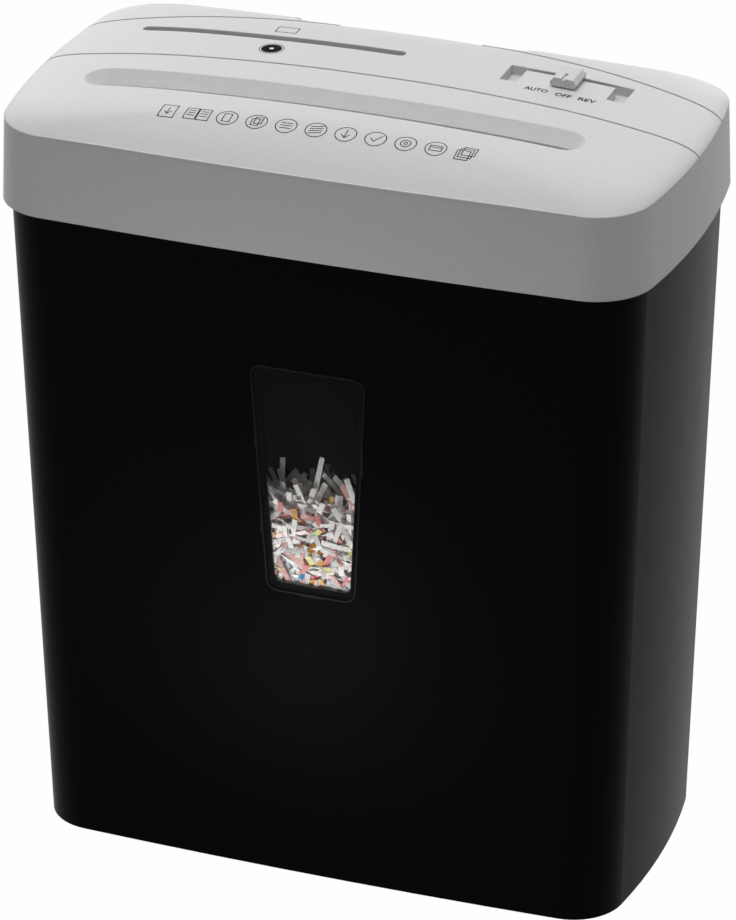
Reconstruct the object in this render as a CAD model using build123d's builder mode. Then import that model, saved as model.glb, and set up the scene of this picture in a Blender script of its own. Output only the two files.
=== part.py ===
"""Desk-side paper shredder: waste bin, lift-off cutting head, drive train and controls."""
import os
from math import acos, atan2, cos, degrees, hypot, pi, radians, sin, sqrt, tan

from build123d import *

os.makedirs("parts", exist_ok=True)

# Head, outer form
HEAD_WIDTH = 314.0
HEAD_DEPTH = 167.3
HEAD_DRAFT = 1.3
HEAD_CORNER = 27.8
HEAD_FRONT_BOW = 3.7
HEAD_SIDE_BOW = 8.7
BAND_HEIGHT = 39.0
CROWN = 14.0
DOME_FLAT = 45.0
COVER_WALL = 2.5
DOME_LEVELS = (0.0, 0.259, 0.5, 0.707, 0.866, 0.94, 0.974, 0.99)

# Bin
BIN_HEIGHT = 330.0
SKIRT_OVERLAP = 10.0
RIM_SIDE_GAP = 0.95
RIM_FRONT_GAP = 2.2
BIN_SIDE_DRAFT = 8.25
BIN_FRONT_DRAFT = 5.3
BIN_CORNER = 25.0
BIN_FRONT_BOW = 3.2
BIN_SIDE_BOW = 7.5
BIN_WALL = 2.6
BIN_FLOOR = 3.0
FOOT_RING = 12.0
FOOT_RECESS = 1.2

# Viewing window in the front wall
WINDOW_Z = 206.0
WINDOW_HEIGHT = 113.2
WINDOW_TOP = 54.6
WINDOW_BOTTOM = 42.4
WINDOW_CORNER = 7.0
WINDOW_SEAT = 1.3
WINDOW_LEDGE = 2.8
WINDOW_FIT = 0.25
WINDOW_PANE = 1.5
WINDOW_RIM = 1.4
WINDOW_REACH = 1.4

# Heap of cut paper
SHRED_GAP = 3.0
SHRED_CRUST = 3.0
SHRED_CROWN_INSET = 16.0
SHRED_SHOULDER = 185.0
SHRED_TOP = 204.0

# Openings in the top
SLOT_X = -7.0
SLOT_Y = -27.3
MOUTH_LENGTH = 237.7
MOUTH_WIDTH = 20.0
FLARE_DEPTH = 6.0
THROAT_LENGTH = 224.0
THROAT_WIDTH = 5.2
FUNNEL_WALL = 2.0
FUNNEL_DROP = 23.5
DISC_X = -57.0
DISC_Y = 31.8
DISC_SLOT_LENGTH = 127.7
DISC_SLOT_WIDTH = 5.0
DISC_COLLAR_WALL = 1.8
DISC_COLLAR_DROP = 31.5
NOTCH_HALF = 60.0
NOTCH_Y = 57.0
NOTCH_DEPTH = 16.0
GROOVE_WIDTH = 1.3
GROOVE_DEPTH = 0.8
FRONT_GROOVE_Y = 4.0
FRONT_GROOVE_RADIUS = 1700.0
REAR_GROOVE_Y = 57.3
REAR_GROOVE_RADIUS = 620.0

# Mode switch
SWITCH_X = 84.0
SWITCH_SLIT_Y = 36.8
SWITCH_SLIT_WIDTH = 3.0
SWITCH_POCKET_REACH = 25.0
SWITCH_POCKET_WIDTH = 8.0
SWITCH_POCKET_LENGTH = 15.5
SWITCH_POCKET_DEPTH = 5.0
SWITCH_BLOCK_DEPTH = 7.5
SWITCH_BODY_HEIGHT = 6.5
SWITCH_TRAVEL = 12.0
KNOB_WIDTH = 11.2
KNOB_LENGTH = 16.0
KNOB_HEIGHT = 4.2
KNOB_SWELL = 0.6
KNOB_TOP_SHARE = 0.8
POINTER_WIDTH = 1.6
POINTER_LENGTH = 6.0
POINTER_DEPTH = 0.7
KNOB_LIFT = 0.6
KNOB_FIT = 0.3

# Base pan of the head
FLANGE_THICK = 3.0
FLANGE_GAP = 0.5
PAN_GAP = 5.1
PAN_DROP = 44.0
PAN_WALL = 2.2
PAN_FLOOR = 2.5
PAN_CORNER = 22.0
POST_X = 133.0
POST_Y = 58.0
POST_RADIUS = 4.5
POST_RISE = 6.0
SCREW_RADIUS = 1.35
SCREW_PILOT = 1.4
SCREW_PASS = 1.75
SCREW_HEAD_RADIUS = 3.2
SCREW_HEAD_HEIGHT = 2.4
SCREW_BORE = 3.6
SCREW_SEAT_DROP = 14.0
SCREW_LENGTH = 26.0

# Cutter block
AXIS_DROP = 12.0
SHAFT_SPACING = 32.0
CUTTER_RADIUS = 18.0
HUB_RADIUS = 13.5
CUTTER_COUNT = 28
CUTTER_THICK = 3.7
JOURNAL_RADIUS = 5.0
PLATE_GAP_END = 2.5
PLATE_THICK = 2.0
BUSH_WALL = 2.5
BUSH_FLANGE = 1.0
RUN_FIT = 0.05
COMB_FINGER = 3.2
COMB_CLEAR = 0.6
TIE_RADIUS = 3.0
TIE_SPIGOT = 2.0
NUT_THICK = 3.0
NUT_RADIUS = 4.0

# Disc cutters
DISC_AXIS_RISE = 5.8
DISC_SHAFT_SPACING = 20.0
DISC_CUTTER_RADIUS = 11.25
DISC_CUTTER_THICK = 3.0
DISC_CUTTER_STEP = 24.0
DISC_CUTTER_COUNT = 5
DISC_JOURNAL = 4.0
DISC_CORE = 5.0
DISC_PLATE_X = 9.5

# Gear train, positions taken from the rear cutter axis
SECOND_DY = 27.3
SECOND_DZ = 15.7
FIRST_DY = 40.5
FIRST_DZ = -7.0
MOTOR_DY = 55.3
MOTOR_DZ = 15.0
SYNC_TEETH = 20
FINAL_TEETH = 30
SECOND_TEETH = 32
FIRST_TEETH = 40
PINION_TEETH = 12
DISC_TEETH = 16
TRANSFER_TEETH = 20
TRANSFER_DRIVEN_TEETH = 22
PRESSURE_ANGLE = radians(20.0)
ADDENDUM = 0.8
DEDENDUM = 1.1
BACKLASH = 0.24
GEAR_GAP = 1.0
AXLE_RADIUS = 3.0
AXLE_SPIGOT = 2.5
GEAR_HUB = 4.4

# Motor
MOTOR_RADIUS = 22.0
MOTOR_WALL = 1.8
MOTOR_LENGTH = 70.0
MOTOR_SHAFT = 2.5
ARMATURE_RADIUS = 15.5
MAGNET_THICK = 3.0
FAN_RADIUS = 19.0

# Paper sensor and interlock
SENSOR_SLOT = 7.0
SENSOR_PIVOT_DY = 9.8
SENSOR_PIN = 1.5
CHUTE_DROP = 12.0
CHUTE_WALL = 2.0
SAFETY_X = -30.0
PLUNGER_RADIUS = 1.3
PLUNGER_STROKE = 3.0

# Levels that follow from the sizes above
BAND_Z = BIN_HEIGHT - SKIRT_OVERLAP
EDGE_Z = BAND_Z + BAND_HEIGHT
TOP_Z = EDGE_Z + CROWN
EDGE_WIDTH = HEAD_WIDTH - 2 * HEAD_DRAFT
EDGE_DEPTH = HEAD_DEPTH - 2 * HEAD_DRAFT
RIM_WIDTH = HEAD_WIDTH - 2 * (COVER_WALL + RIM_SIDE_GAP)
RIM_DEPTH = HEAD_DEPTH - 2 * (COVER_WALL + RIM_FRONT_GAP)
PAN_WIDTH = RIM_WIDTH - 2 * (BIN_WALL + PAN_GAP)
PAN_DEPTH = RIM_DEPTH - 2 * (BIN_WALL + PAN_GAP)
PAN_Z = BIN_HEIGHT - PAN_DROP
FLOOR_Z = PAN_Z + PAN_FLOOR
FLANGE_Z = BIN_HEIGHT + FLANGE_THICK
POST_Z = BIN_HEIGHT + POST_RISE
FUNNEL_Z = TOP_Z - FUNNEL_DROP
CHUTE_Z = FUNNEL_Z - CHUTE_DROP
COLLAR_Z = TOP_Z - DISC_COLLAR_DROP
NECK_WIDTH = MOUTH_WIDTH - 2 * FLARE_DEPTH
NECK_Z = FUNNEL_Z + FUNNEL_DROP * (NECK_WIDTH - THROAT_WIDTH) / (MOUTH_WIDTH - THROAT_WIDTH)
FLARE_REACH = (MOUTH_LENGTH - MOUTH_WIDTH) / 2
FLARE_OVER = 2.0
FLARE_STATIONS = (-1.0, -0.67, -0.33, 0.0, 0.33, 0.67, 1.0)
AXIS_Z = BIN_HEIGHT - AXIS_DROP
FRONT_Y = SLOT_Y - SHAFT_SPACING / 2
REAR_Y = SLOT_Y + SHAFT_SPACING / 2
DISC_FRONT_Y = DISC_Y - DISC_SHAFT_SPACING / 2
DISC_REAR_Y = DISC_Y + DISC_SHAFT_SPACING / 2
DISC_Z = AXIS_Z + DISC_AXIS_RISE
LEFT_IN = SLOT_X - THROAT_LENGTH / 2 - PLATE_GAP_END
RIGHT_IN = SLOT_X + THROAT_LENGTH / 2 + PLATE_GAP_END
LEFT_OUT = LEFT_IN - PLATE_THICK
RIGHT_OUT = RIGHT_IN + PLATE_THICK
SECOND_Y = REAR_Y + SECOND_DY
SECOND_Z = AXIS_Z + SECOND_DZ
FIRST_Y = REAR_Y + FIRST_DY
FIRST_Z = AXIS_Z + FIRST_DZ
MOTOR_Y = REAR_Y + MOTOR_DY
MOTOR_Z = AXIS_Z + MOTOR_DZ
SYNC_X = RIGHT_OUT + BUSH_FLANGE + GEAR_GAP / 2
SYNC_WIDTH = 9.0
FINAL_X = SYNC_X + SYNC_WIDTH + GEAR_GAP
FINAL_WIDTH = 8.0
OUTER_X = FINAL_X + FINAL_WIDTH + GEAR_GAP
OUTER_WIDTH = 6.0
GEAR_COVER_X = OUTER_X + OUTER_WIDTH + 2 * GEAR_GAP
DISC_GEAR_X = LEFT_OUT - BUSH_FLANGE - GEAR_GAP / 2
DISC_GEAR_WIDTH = 6.0
TRANSFER_X = DISC_GEAR_X - DISC_GEAR_WIDTH - GEAR_GAP
TRANSFER_WIDTH = 7.0
MOTOR_REAR_X = RIGHT_IN - MOTOR_LENGTH
CUTTER_PITCH = THROAT_LENGTH / CUTTER_COUNT
TIE_PLACES = [
    (FRONT_Y - 13.7, AXIS_Z - 23.0),
    (FRONT_Y - 13.7, AXIS_Z + 23.0),
    (REAR_Y + 16.3, AXIS_Z - 23.0),
    (REAR_Y + 16.3, AXIS_Z + 23.0),
]
POST_PLACES = [(sx * POST_X, sy * POST_Y) for sx in (-1, 1) for sy in (-1, 1)]
MOTOR_SCREWS = [(MOTOR_Y - 13.0, MOTOR_Z), (MOTOR_Y + 13.0, MOTOR_Z)]


def box(x0, x1, y0, y1, z0, z1, mode=Mode.ADD):
    """Block between two corners, added to or taken from the open part."""
    with Locations(((x0 + x1) / 2, (y0 + y1) / 2, (z0 + z1) / 2)):
        Box(x1 - x0, y1 - y0, z1 - z0, mode=mode)


def rod_x(x0, x1, y, z, radius, mode=Mode.ADD):
    """Round bar along X."""
    with Locations(Location(((x0 + x1) / 2, y, z), (0, 90, 0))):
        Cylinder(radius, x1 - x0, mode=mode)


def rod_y(x, y0, y1, z, radius, mode=Mode.ADD):
    """Round bar along Y."""
    with Locations(Location((x, (y0 + y1) / 2, z), (90, 0, 0))):
        Cylinder(radius, y1 - y0, mode=mode)


def rod_z(x, y, z0, z1, radius, mode=Mode.ADD):
    """Round bar along Z."""
    with Locations((x, y, (z0 + z1) / 2)):
        Cylinder(radius, z1 - z0, mode=mode)


def bowed_outline(z, width, depth, corner, front_bow, side_bow):
    """Level rounded rectangle whose four sides bow outward."""
    x_mid = width / 2
    y_mid = depth / 2
    x_end = x_mid - side_bow
    y_end = y_mid - front_bow
    with BuildSketch(Plane.XY.offset(z)) as outline:
        with BuildLine():
            ThreePointArc((-x_end, -y_end), (0, -y_mid), (x_end, -y_end))
            ThreePointArc((x_end, -y_end), (x_mid, 0), (x_end, y_end))
            ThreePointArc((x_end, y_end), (0, y_mid), (-x_end, y_end))
            ThreePointArc((-x_end, y_end), (-x_mid, 0), (-x_end, -y_end))
        make_face()
        fillet(outline.vertices(), corner)
    return outline.sketch


def head_outline(z, inset):
    """Outline of the drafted head band at one level, drawn in by a wall."""
    lean = 2 * HEAD_DRAFT * (z - BAND_Z) / BAND_HEIGHT + 2 * inset
    return bowed_outline(z, HEAD_WIDTH - lean, HEAD_DEPTH - lean, HEAD_CORNER - inset,
                         HEAD_FRONT_BOW, HEAD_SIDE_BOW)


def dome_outline(level, inset):
    """Outline of the domed top at one share of its rise."""
    half_width = EDGE_WIDTH / 2 * sqrt(1 - level ** 2)
    half_depth = DOME_FLAT + (EDGE_DEPTH / 2 - DOME_FLAT) * sqrt(1 - level)
    corner = (HEAD_CORNER - inset) * sqrt(2 * half_width / EDGE_WIDTH)
    return bowed_outline(EDGE_Z - inset + level * CROWN, 2 * (half_width - inset),
                         2 * (half_depth - inset), corner, HEAD_FRONT_BOW, HEAD_SIDE_BOW)


def bin_outline(z, inset):
    """Outline of the tapered bin at one level, drawn in by a wall."""
    lean = (BIN_HEIGHT - z) / BIN_HEIGHT
    return bowed_outline(z, RIM_WIDTH - 2 * (BIN_SIDE_DRAFT * lean + inset),
                         RIM_DEPTH - 2 * (BIN_FRONT_DRAFT * lean + inset), BIN_CORNER - inset,
                         BIN_FRONT_BOW, BIN_SIDE_BOW)


def funnel_section(z, wall):
    """Slot-shaped section of the paper funnel at one level."""
    share = (z - FUNNEL_Z) / (TOP_Z - 0.15 * CROWN - FUNNEL_Z)
    length = THROAT_LENGTH + (MOUTH_LENGTH - THROAT_LENGTH) * share + 2 * wall
    width = THROAT_WIDTH + (MOUTH_WIDTH - THROAT_WIDTH) * share + 2 * wall
    with BuildSketch(Plane.XY.offset(z)) as section:
        with Locations((SLOT_X, SLOT_Y)):
            SlotOverall(length, width)
    return section.sketch


def arch_z(x):
    """Height of the domed top along its long middle."""
    return EDGE_Z + CROWN * sqrt(1 - (2 * x / EDGE_WIDTH) ** 2)


def neck_section(z):
    """Slot at the foot of the flared paper mouth."""
    with BuildSketch(Plane.XY.offset(z)) as section:
        with Locations((SLOT_X, SLOT_Y)):
            SlotOverall(MOUTH_LENGTH - 2 * FLARE_DEPTH, NECK_WIDTH)
    return section.sketch


def flare_section(reach):
    """Cross-section of the flared paper mouth, hung from the arch of the top."""
    x = SLOT_X + reach
    half = MOUTH_WIDTH / 2 + FLARE_OVER
    with BuildSketch(Plane(origin=(x, SLOT_Y, arch_z(x)), x_dir=(0, 1, 0), z_dir=(1, 0, 0))) as section:
        Polygon((-half, FLARE_OVER), (-NECK_WIDTH / 2, -FLARE_DEPTH), (NECK_WIDTH / 2, -FLARE_DEPTH),
                (half, FLARE_OVER), align=None)
    return section.sketch


def disc_slot(z, wall):
    """Outline of the disc slot with a wall round it."""
    with BuildSketch(Plane.XY.offset(z)) as section:
        with Locations((DISC_X, DISC_Y)):
            SlotOverall(DISC_SLOT_LENGTH + 2 * wall, DISC_SLOT_WIDTH + 2 * wall)
    return section.sketch


def notch_plan(z, wall):
    """Plan of the finger notch, open past the back wall."""
    half = NOTCH_HALF + wall
    with BuildSketch(Plane.XY.offset(z)) as plan:
        Polygon((-half, NOTCH_Y - wall), (half, NOTCH_Y - wall), (half, HEAD_DEPTH),
                (-half, HEAD_DEPTH), align=None)
        fillet(plan.vertices().sort_by(Axis.Y)[:2], 12.0 + wall)
    return plan.sketch


def groove_plan(y_mid, radius):
    """Thin curved band across the top, seen from above."""
    with BuildSketch(Plane.XY.offset(EDGE_Z - CROWN)) as plan:
        with Locations((0, y_mid - radius)):
            Circle(radius + GROOVE_WIDTH / 2)
            Circle(radius - GROOVE_WIDTH / 2, mode=Mode.SUBTRACT)
        with Locations((0, y_mid)):
            Rectangle(2 * HEAD_WIDTH, HEAD_DEPTH, mode=Mode.INTERSECT)
    return plan.sketch


def window_outline(inset, depth):
    """Tapered window outline on the front wall, drawn in and sunk below its face."""
    high = WINDOW_HEIGHT / 2 - inset
    top = WINDOW_TOP / 2 - inset
    bottom = WINDOW_BOTTOM / 2 - inset
    with BuildSketch(WINDOW_PLANE.offset(-depth)) as outline:
        Polygon((-bottom, -high), (bottom, -high), (top, high), (-top, high), align=None)
        fillet(outline.vertices(), WINDOW_CORNER - inset)
    return outline.sketch


def mesh_phase(place_a, place_b, teeth_a, phase_a, teeth_b):
    """Turn of gear b that puts its gap on the tooth of gear a, in radians."""
    line = atan2(place_b[1] - place_a[1], place_b[0] - place_a[0])
    share = (line - phase_a) * teeth_a / (2 * pi)
    return line + pi - (0.5 - share) * 2 * pi / teeth_b


def gear_face(x, place, teeth, module, phase, bore):
    """Involute gear section on a plane across X, with a round bore."""
    pitch = teeth * module / 2
    base = pitch * cos(PRESSURE_ANGLE)
    tip = pitch + ADDENDUM * module
    root = pitch - DEDENDUM * module
    foot = max(root, base)

    def half_angle(radius):
        angle = acos(min(1.0, base / radius))
        rolled = tan(angle) - angle
        start = tan(PRESSURE_ANGLE) - PRESSURE_ANGLE
        return pi / (2 * teeth) - BACKLASH / (4 * pitch) + start - rolled

    def spot(radius, angle):
        return (radius * cos(angle), radius * sin(angle))

    middle = (foot + tip) / 2
    step = 2 * pi / teeth
    with BuildSketch(Plane.YZ.offset(x)) as face:
        with Locations(place):
            with BuildSketch(mode=Mode.PRIVATE) as wheel:
                with BuildLine():
                    for index in range(teeth):
                        here = phase + index * step
                        rise = [spot(r, here - half_angle(r)) for r in (foot, middle, tip)]
                        fall = [spot(r, here + half_angle(r)) for r in (tip, middle, foot)]
                        low = spot(root, here - half_angle(foot))
                        end = spot(root, here + half_angle(foot))
                        following = spot(root, here + step - half_angle(foot))
                        if root < base - 0.01:
                            Line(low, rise[0])
                            Line(fall[2], end)
                        else:
                            end = fall[2]
                            following = spot(foot, here + step - half_angle(foot))
                        ThreePointArc(*rise)
                        ThreePointArc(rise[2], spot(tip, here), fall[0])
                        ThreePointArc(*fall)
                        ThreePointArc(end, spot(hypot(*end), here + step / 2), following)
                make_face()
                Circle(bore, mode=Mode.SUBTRACT)
            add(wheel.sketch)
    return face.sketch


def save(part, name):
    """Label one sub-part and write it out."""
    part.label = name
    export_step(part, "parts/" + name + ".step")


WALL_LEAN = atan2(BIN_FRONT_DRAFT, BIN_HEIGHT)
WALL_Y = RIM_DEPTH / 2 - BIN_FRONT_DRAFT * (BIN_HEIGHT - WINDOW_Z) / BIN_HEIGHT
WINDOW_PLANE = Plane(origin=(0, -WALL_Y, WINDOW_Z), x_dir=(1, 0, 0),
                     z_dir=(0, -cos(WALL_LEAN), -sin(WALL_LEAN)))
SWITCH_ARCH = sqrt(1 - (2 * SWITCH_X / EDGE_WIDTH) ** 2)
SWITCH_TILT = atan2(CROWN * SWITCH_X * 4 / EDGE_WIDTH ** 2, SWITCH_ARCH)
SWITCH_PLANE = Plane(origin=(SWITCH_X, SWITCH_SLIT_Y, EDGE_Z + CROWN * SWITCH_ARCH),
                     x_dir=(cos(SWITCH_TILT), 0, -sin(SWITCH_TILT)),
                     z_dir=(sin(SWITCH_TILT), 0, cos(SWITCH_TILT)))


def switch_box(x0, x1, y0, y1, z0, z1, mode=Mode.ADD):
    """Block laid out on the tilted plane of the mode switch."""
    place = SWITCH_PLANE * Location(((x0 + x1) / 2, (y0 + y1) / 2, (z0 + z1) / 2))
    with Locations(place):
        Box(x1 - x0, y1 - y0, z1 - z0, mode=mode)


# Waste bin: drafted tub, recessed foot, window seat and interlock tab
with BuildPart() as waste_bin:
    loft([bin_outline(0, 0), bin_outline(BIN_HEIGHT, 0)], ruled=True)
    loft([bin_outline(BIN_FLOOR, BIN_WALL), bin_outline(BIN_HEIGHT + 5, BIN_WALL)], ruled=True,
         mode=Mode.SUBTRACT)
    extrude(bin_outline(0, FOOT_RING), amount=FOOT_RECESS, mode=Mode.SUBTRACT)
    extrude(window_outline(0, -4.0), amount=-4.0 - WINDOW_SEAT, mode=Mode.SUBTRACT)
    extrude(window_outline(WINDOW_LEDGE, -4.0), amount=-14.0, mode=Mode.SUBTRACT)
    TAB_IN = PAN_DEPTH / 2 + 0.8
    TAB_OUT = RIM_DEPTH / 2 - BIN_WALL / 2
    box(SAFETY_X - 5, SAFETY_X + 5, TAB_IN, TAB_OUT, BIN_HEIGHT - 8, BIN_HEIGHT)
save(waste_bin.part, "waste_bin")

# Viewing window: flange in the seat, thin pane, rim wall with snap hooks
with BuildPart() as viewing_window:
    extrude(window_outline(WINDOW_FIT, 0.1), amount=0.1 - WINDOW_SEAT)
    PLUG = WINDOW_LEDGE + WINDOW_FIT
    extrude(window_outline(PLUG, WINDOW_SEAT), amount=WINDOW_SEAT - BIN_WALL - WINDOW_REACH)
    extrude(window_outline(PLUG + WINDOW_RIM, 0.1 + WINDOW_PANE), amount=-20.0, mode=Mode.SUBTRACT)
    HOOK_DEPTH = -BIN_WALL - WINDOW_FIT - 0.5
    for up in (-22.0, 22.0):
        HALF = (WINDOW_TOP + WINDOW_BOTTOM) / 4 + (WINDOW_TOP - WINDOW_BOTTOM) / 2 * up / WINDOW_HEIGHT
        for side in (-1, 1):
            with Locations(WINDOW_PLANE * Location((side * (HALF - PLUG), up, HOOK_DEPTH))):
                Box(2.0, 10.0, 1.0)
    for side in (-1, 1):
        for end in (-1, 1):
            high = end * (WINDOW_HEIGHT / 2 - PLUG)
            with Locations(WINDOW_PLANE * Location((side * 9.0, high, HOOK_DEPTH))):
                Box(8.0, 2.0, 1.0)
save(viewing_window.part, "viewing_window")

# Cut paper: a heap as a crust that stands on the floor of the bin
with BuildPart() as paper_shreds:
    IN = BIN_WALL + SHRED_GAP
    loft([bin_outline(BIN_FLOOR, IN), bin_outline(SHRED_SHOULDER, IN)], ruled=True)
    loft([bin_outline(SHRED_SHOULDER, IN), bin_outline(SHRED_TOP, IN + SHRED_CROWN_INSET)],
         ruled=True)
    CORE = IN + SHRED_CRUST
    loft([bin_outline(BIN_FLOOR - 1, CORE), bin_outline(SHRED_SHOULDER - SHRED_CRUST, CORE)],
         ruled=True, mode=Mode.SUBTRACT)
    loft([bin_outline(SHRED_SHOULDER - SHRED_CRUST, CORE),
          bin_outline(SHRED_TOP - SHRED_CRUST, CORE + SHRED_CROWN_INSET)], ruled=True, mode=Mode.SUBTRACT)
save(paper_shreds.part, "paper_shreds")

# Head cover: drafted band, domed top, funnel, disc collar, switch block and finger notch
with BuildPart() as cover_form:
    loft([head_outline(BAND_Z, 0), head_outline(EDGE_Z, 0)], ruled=True)
    loft([dome_outline(level, 0) for level in DOME_LEVELS])

with BuildPart() as cover_cavity:
    loft([head_outline(BAND_Z - 1, COVER_WALL), head_outline(EDGE_Z - COVER_WALL, COVER_WALL)], ruled=True)
    loft([dome_outline(level, COVER_WALL) for level in DOME_LEVELS])
    OVER = TOP_Z + 2
    loft([funnel_section(FUNNEL_Z, FUNNEL_WALL), funnel_section(OVER, FUNNEL_WALL)], mode=Mode.SUBTRACT)
    extrude(disc_slot(COLLAR_Z, DISC_COLLAR_WALL), amount=OVER - COLLAR_Z, mode=Mode.SUBTRACT)
    extrude(notch_plan(TOP_Z - NOTCH_DEPTH - COVER_WALL, COVER_WALL), amount=2 * CROWN, mode=Mode.SUBTRACT)
    BLOCK = SWITCH_POCKET_REACH + SWITCH_POCKET_WIDTH / 2 + 2.0
    BLOCK_BACK = SWITCH_SLIT_WIDTH / 2 + 2.0
    switch_box(-BLOCK, BLOCK, -SWITCH_POCKET_LENGTH - 2.0, BLOCK_BACK, -SWITCH_BLOCK_DEPTH, 4.0,
               Mode.SUBTRACT)
    for x, y in POST_PLACES:
        rod_z(x, y, POST_Z, OVER, POST_RADIUS, Mode.SUBTRACT)

with BuildPart() as head_cover:
    add(cover_form.part)
    with BuildPart(mode=Mode.PRIVATE) as flare:
        for side in (-1, 1):
            END_X = SLOT_X + side * FLARE_REACH
            with Locations((END_X, SLOT_Y, arch_z(END_X) - FLARE_DEPTH)):
                Cone(NECK_WIDTH / 2, MOUTH_WIDTH / 2 + FLARE_OVER, FLARE_DEPTH + FLARE_OVER,
                     align=(Align.CENTER, Align.CENTER, Align.MIN))
        loft([flare_section(FLARE_REACH * share) for share in FLARE_STATIONS])
    add(flare.part, mode=Mode.SUBTRACT)
    add(cover_cavity.part, mode=Mode.SUBTRACT)
    loft([funnel_section(FUNNEL_Z, 0), neck_section(NECK_Z)], mode=Mode.SUBTRACT)
    extrude(neck_section(NECK_Z), amount=OVER - NECK_Z, mode=Mode.SUBTRACT)
    extrude(disc_slot(COLLAR_Z - 1, 0), amount=OVER - COLLAR_Z + 1, mode=Mode.SUBTRACT)
    extrude(notch_plan(TOP_Z - NOTCH_DEPTH, 0), amount=2 * CROWN, mode=Mode.SUBTRACT)
    SLIT_END = SWITCH_POCKET_REACH + SWITCH_POCKET_WIDTH / 2
    SLIT_BACK = SWITCH_SLIT_WIDTH / 2
    NECK_RUN = SWITCH_TRAVEL + KNOB_WIDTH / 2
    switch_box(-SLIT_END, SLIT_END, -SLIT_BACK, SLIT_BACK, -SWITCH_POCKET_DEPTH, 4.0, Mode.SUBTRACT)
    switch_box(-NECK_RUN, NECK_RUN, -SLIT_BACK, SLIT_BACK, -2 * SWITCH_BLOCK_DEPTH, 4.0, Mode.SUBTRACT)
    for side in (-1, 1):
        MID = side * SWITCH_POCKET_REACH
        switch_box(MID - SWITCH_POCKET_WIDTH / 2, MID + SWITCH_POCKET_WIDTH / 2, -SWITCH_POCKET_LENGTH,
                   SLIT_BACK, -SWITCH_POCKET_DEPTH, 4.0, Mode.SUBTRACT)
    for x, y in POST_PLACES:
        rod_z(x, y, POST_Z - 1, POST_Z + SCREW_SEAT_DROP, SCREW_PILOT, Mode.SUBTRACT)
    GLAND_X = -80.0
    GLAND_Z = BAND_Z + 22.0
    rod_y(GLAND_X, HEAD_DEPTH / 2 - 10, HEAD_DEPTH / 2 + 5, GLAND_Z, 5.6, Mode.SUBTRACT)
    with BuildPart(mode=Mode.PRIVATE) as grooves:
        extrude(groove_plan(FRONT_GROOVE_Y, FRONT_GROOVE_RADIUS), amount=3 * CROWN)
        extrude(groove_plan(REAR_GROOVE_Y, REAR_GROOVE_RADIUS), amount=3 * CROWN)
        add(Pos(0, 0, -GROOVE_DEPTH) * cover_form.part, mode=Mode.SUBTRACT)
    add(grooves.part, mode=Mode.SUBTRACT)
save(head_cover.part, "head_cover")

# Base pan: flange on the bin rim, sunk pan, exits, screw posts and switch posts
PLUNGER_Y = (TAB_IN + TAB_OUT) / 2 - 0.6
with BuildPart() as head_base:
    extrude(head_outline(BIN_HEIGHT, COVER_WALL + FLANGE_GAP), amount=FLANGE_THICK)
    extrude(bowed_outline(PAN_Z, PAN_WIDTH, PAN_DEPTH, PAN_CORNER, BIN_FRONT_BOW, BIN_SIDE_BOW),
            amount=PAN_DROP + FLANGE_THICK)
    extrude(bowed_outline(FLOOR_Z, PAN_WIDTH - 2 * PAN_WALL, PAN_DEPTH - 2 * PAN_WALL,
                          PAN_CORNER - PAN_WALL, BIN_FRONT_BOW, BIN_SIDE_BOW),
            amount=PAN_DROP + FLANGE_THICK, mode=Mode.SUBTRACT)
    EXIT_HALF = THROAT_LENGTH / 2
    box(SLOT_X - EXIT_HALF, SLOT_X + EXIT_HALF, FRONT_Y - 4, REAR_Y + 4, PAN_Z - 1, FLOOR_Z + 1,
        Mode.SUBTRACT)
    DISC_EXIT = DISC_SLOT_LENGTH / 2 - 2
    box(DISC_X - DISC_EXIT, DISC_X + DISC_EXIT, DISC_FRONT_Y - 3, DISC_REAR_Y + 3, PAN_Z - 1, FLOOR_Z + 1,
        Mode.SUBTRACT)
    for x, y in POST_PLACES:
        rod_z(x, y, PAN_Z, POST_Z, POST_RADIUS)
        rod_z(x, y, PAN_Z - 1, POST_Z + 1, SCREW_PASS, Mode.SUBTRACT)
        rod_z(x, y, PAN_Z - 1, POST_Z - SCREW_SEAT_DROP, SCREW_BORE, Mode.SUBTRACT)
    rod_z(SAFETY_X, PLUNGER_Y, BIN_HEIGHT - 1, FLANGE_Z + 1, PLUNGER_RADIUS + 0.1, Mode.SUBTRACT)
    SWITCH_SEAT = FLANGE_Z + PLUNGER_STROKE + 5.0
    for side in (-1, 1):
        rod_z(SAFETY_X + side * 8.0, PLUNGER_Y, BIN_HEIGHT + 1, SWITCH_SEAT, 2.5)
save(head_base.part, "head_base")

# Cover screws: driven up through the posts into the cover
with BuildPart() as cover_screws:
    HEAD_TOP = POST_Z - SCREW_SEAT_DROP
    for x, y in POST_PLACES:
        rod_z(x, y, HEAD_TOP - SCREW_HEAD_HEIGHT, HEAD_TOP, SCREW_HEAD_RADIUS)
        rod_z(x, y, HEAD_TOP - 0.5, HEAD_TOP + SCREW_LENGTH, SCREW_RADIUS)
        box(x - 2.2, x + 2.2, y - 0.4, y + 0.4, HEAD_TOP - SCREW_HEAD_HEIGHT, HEAD_TOP - 1.2, Mode.SUBTRACT)
save(cover_screws.part, "cover_screws")

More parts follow.
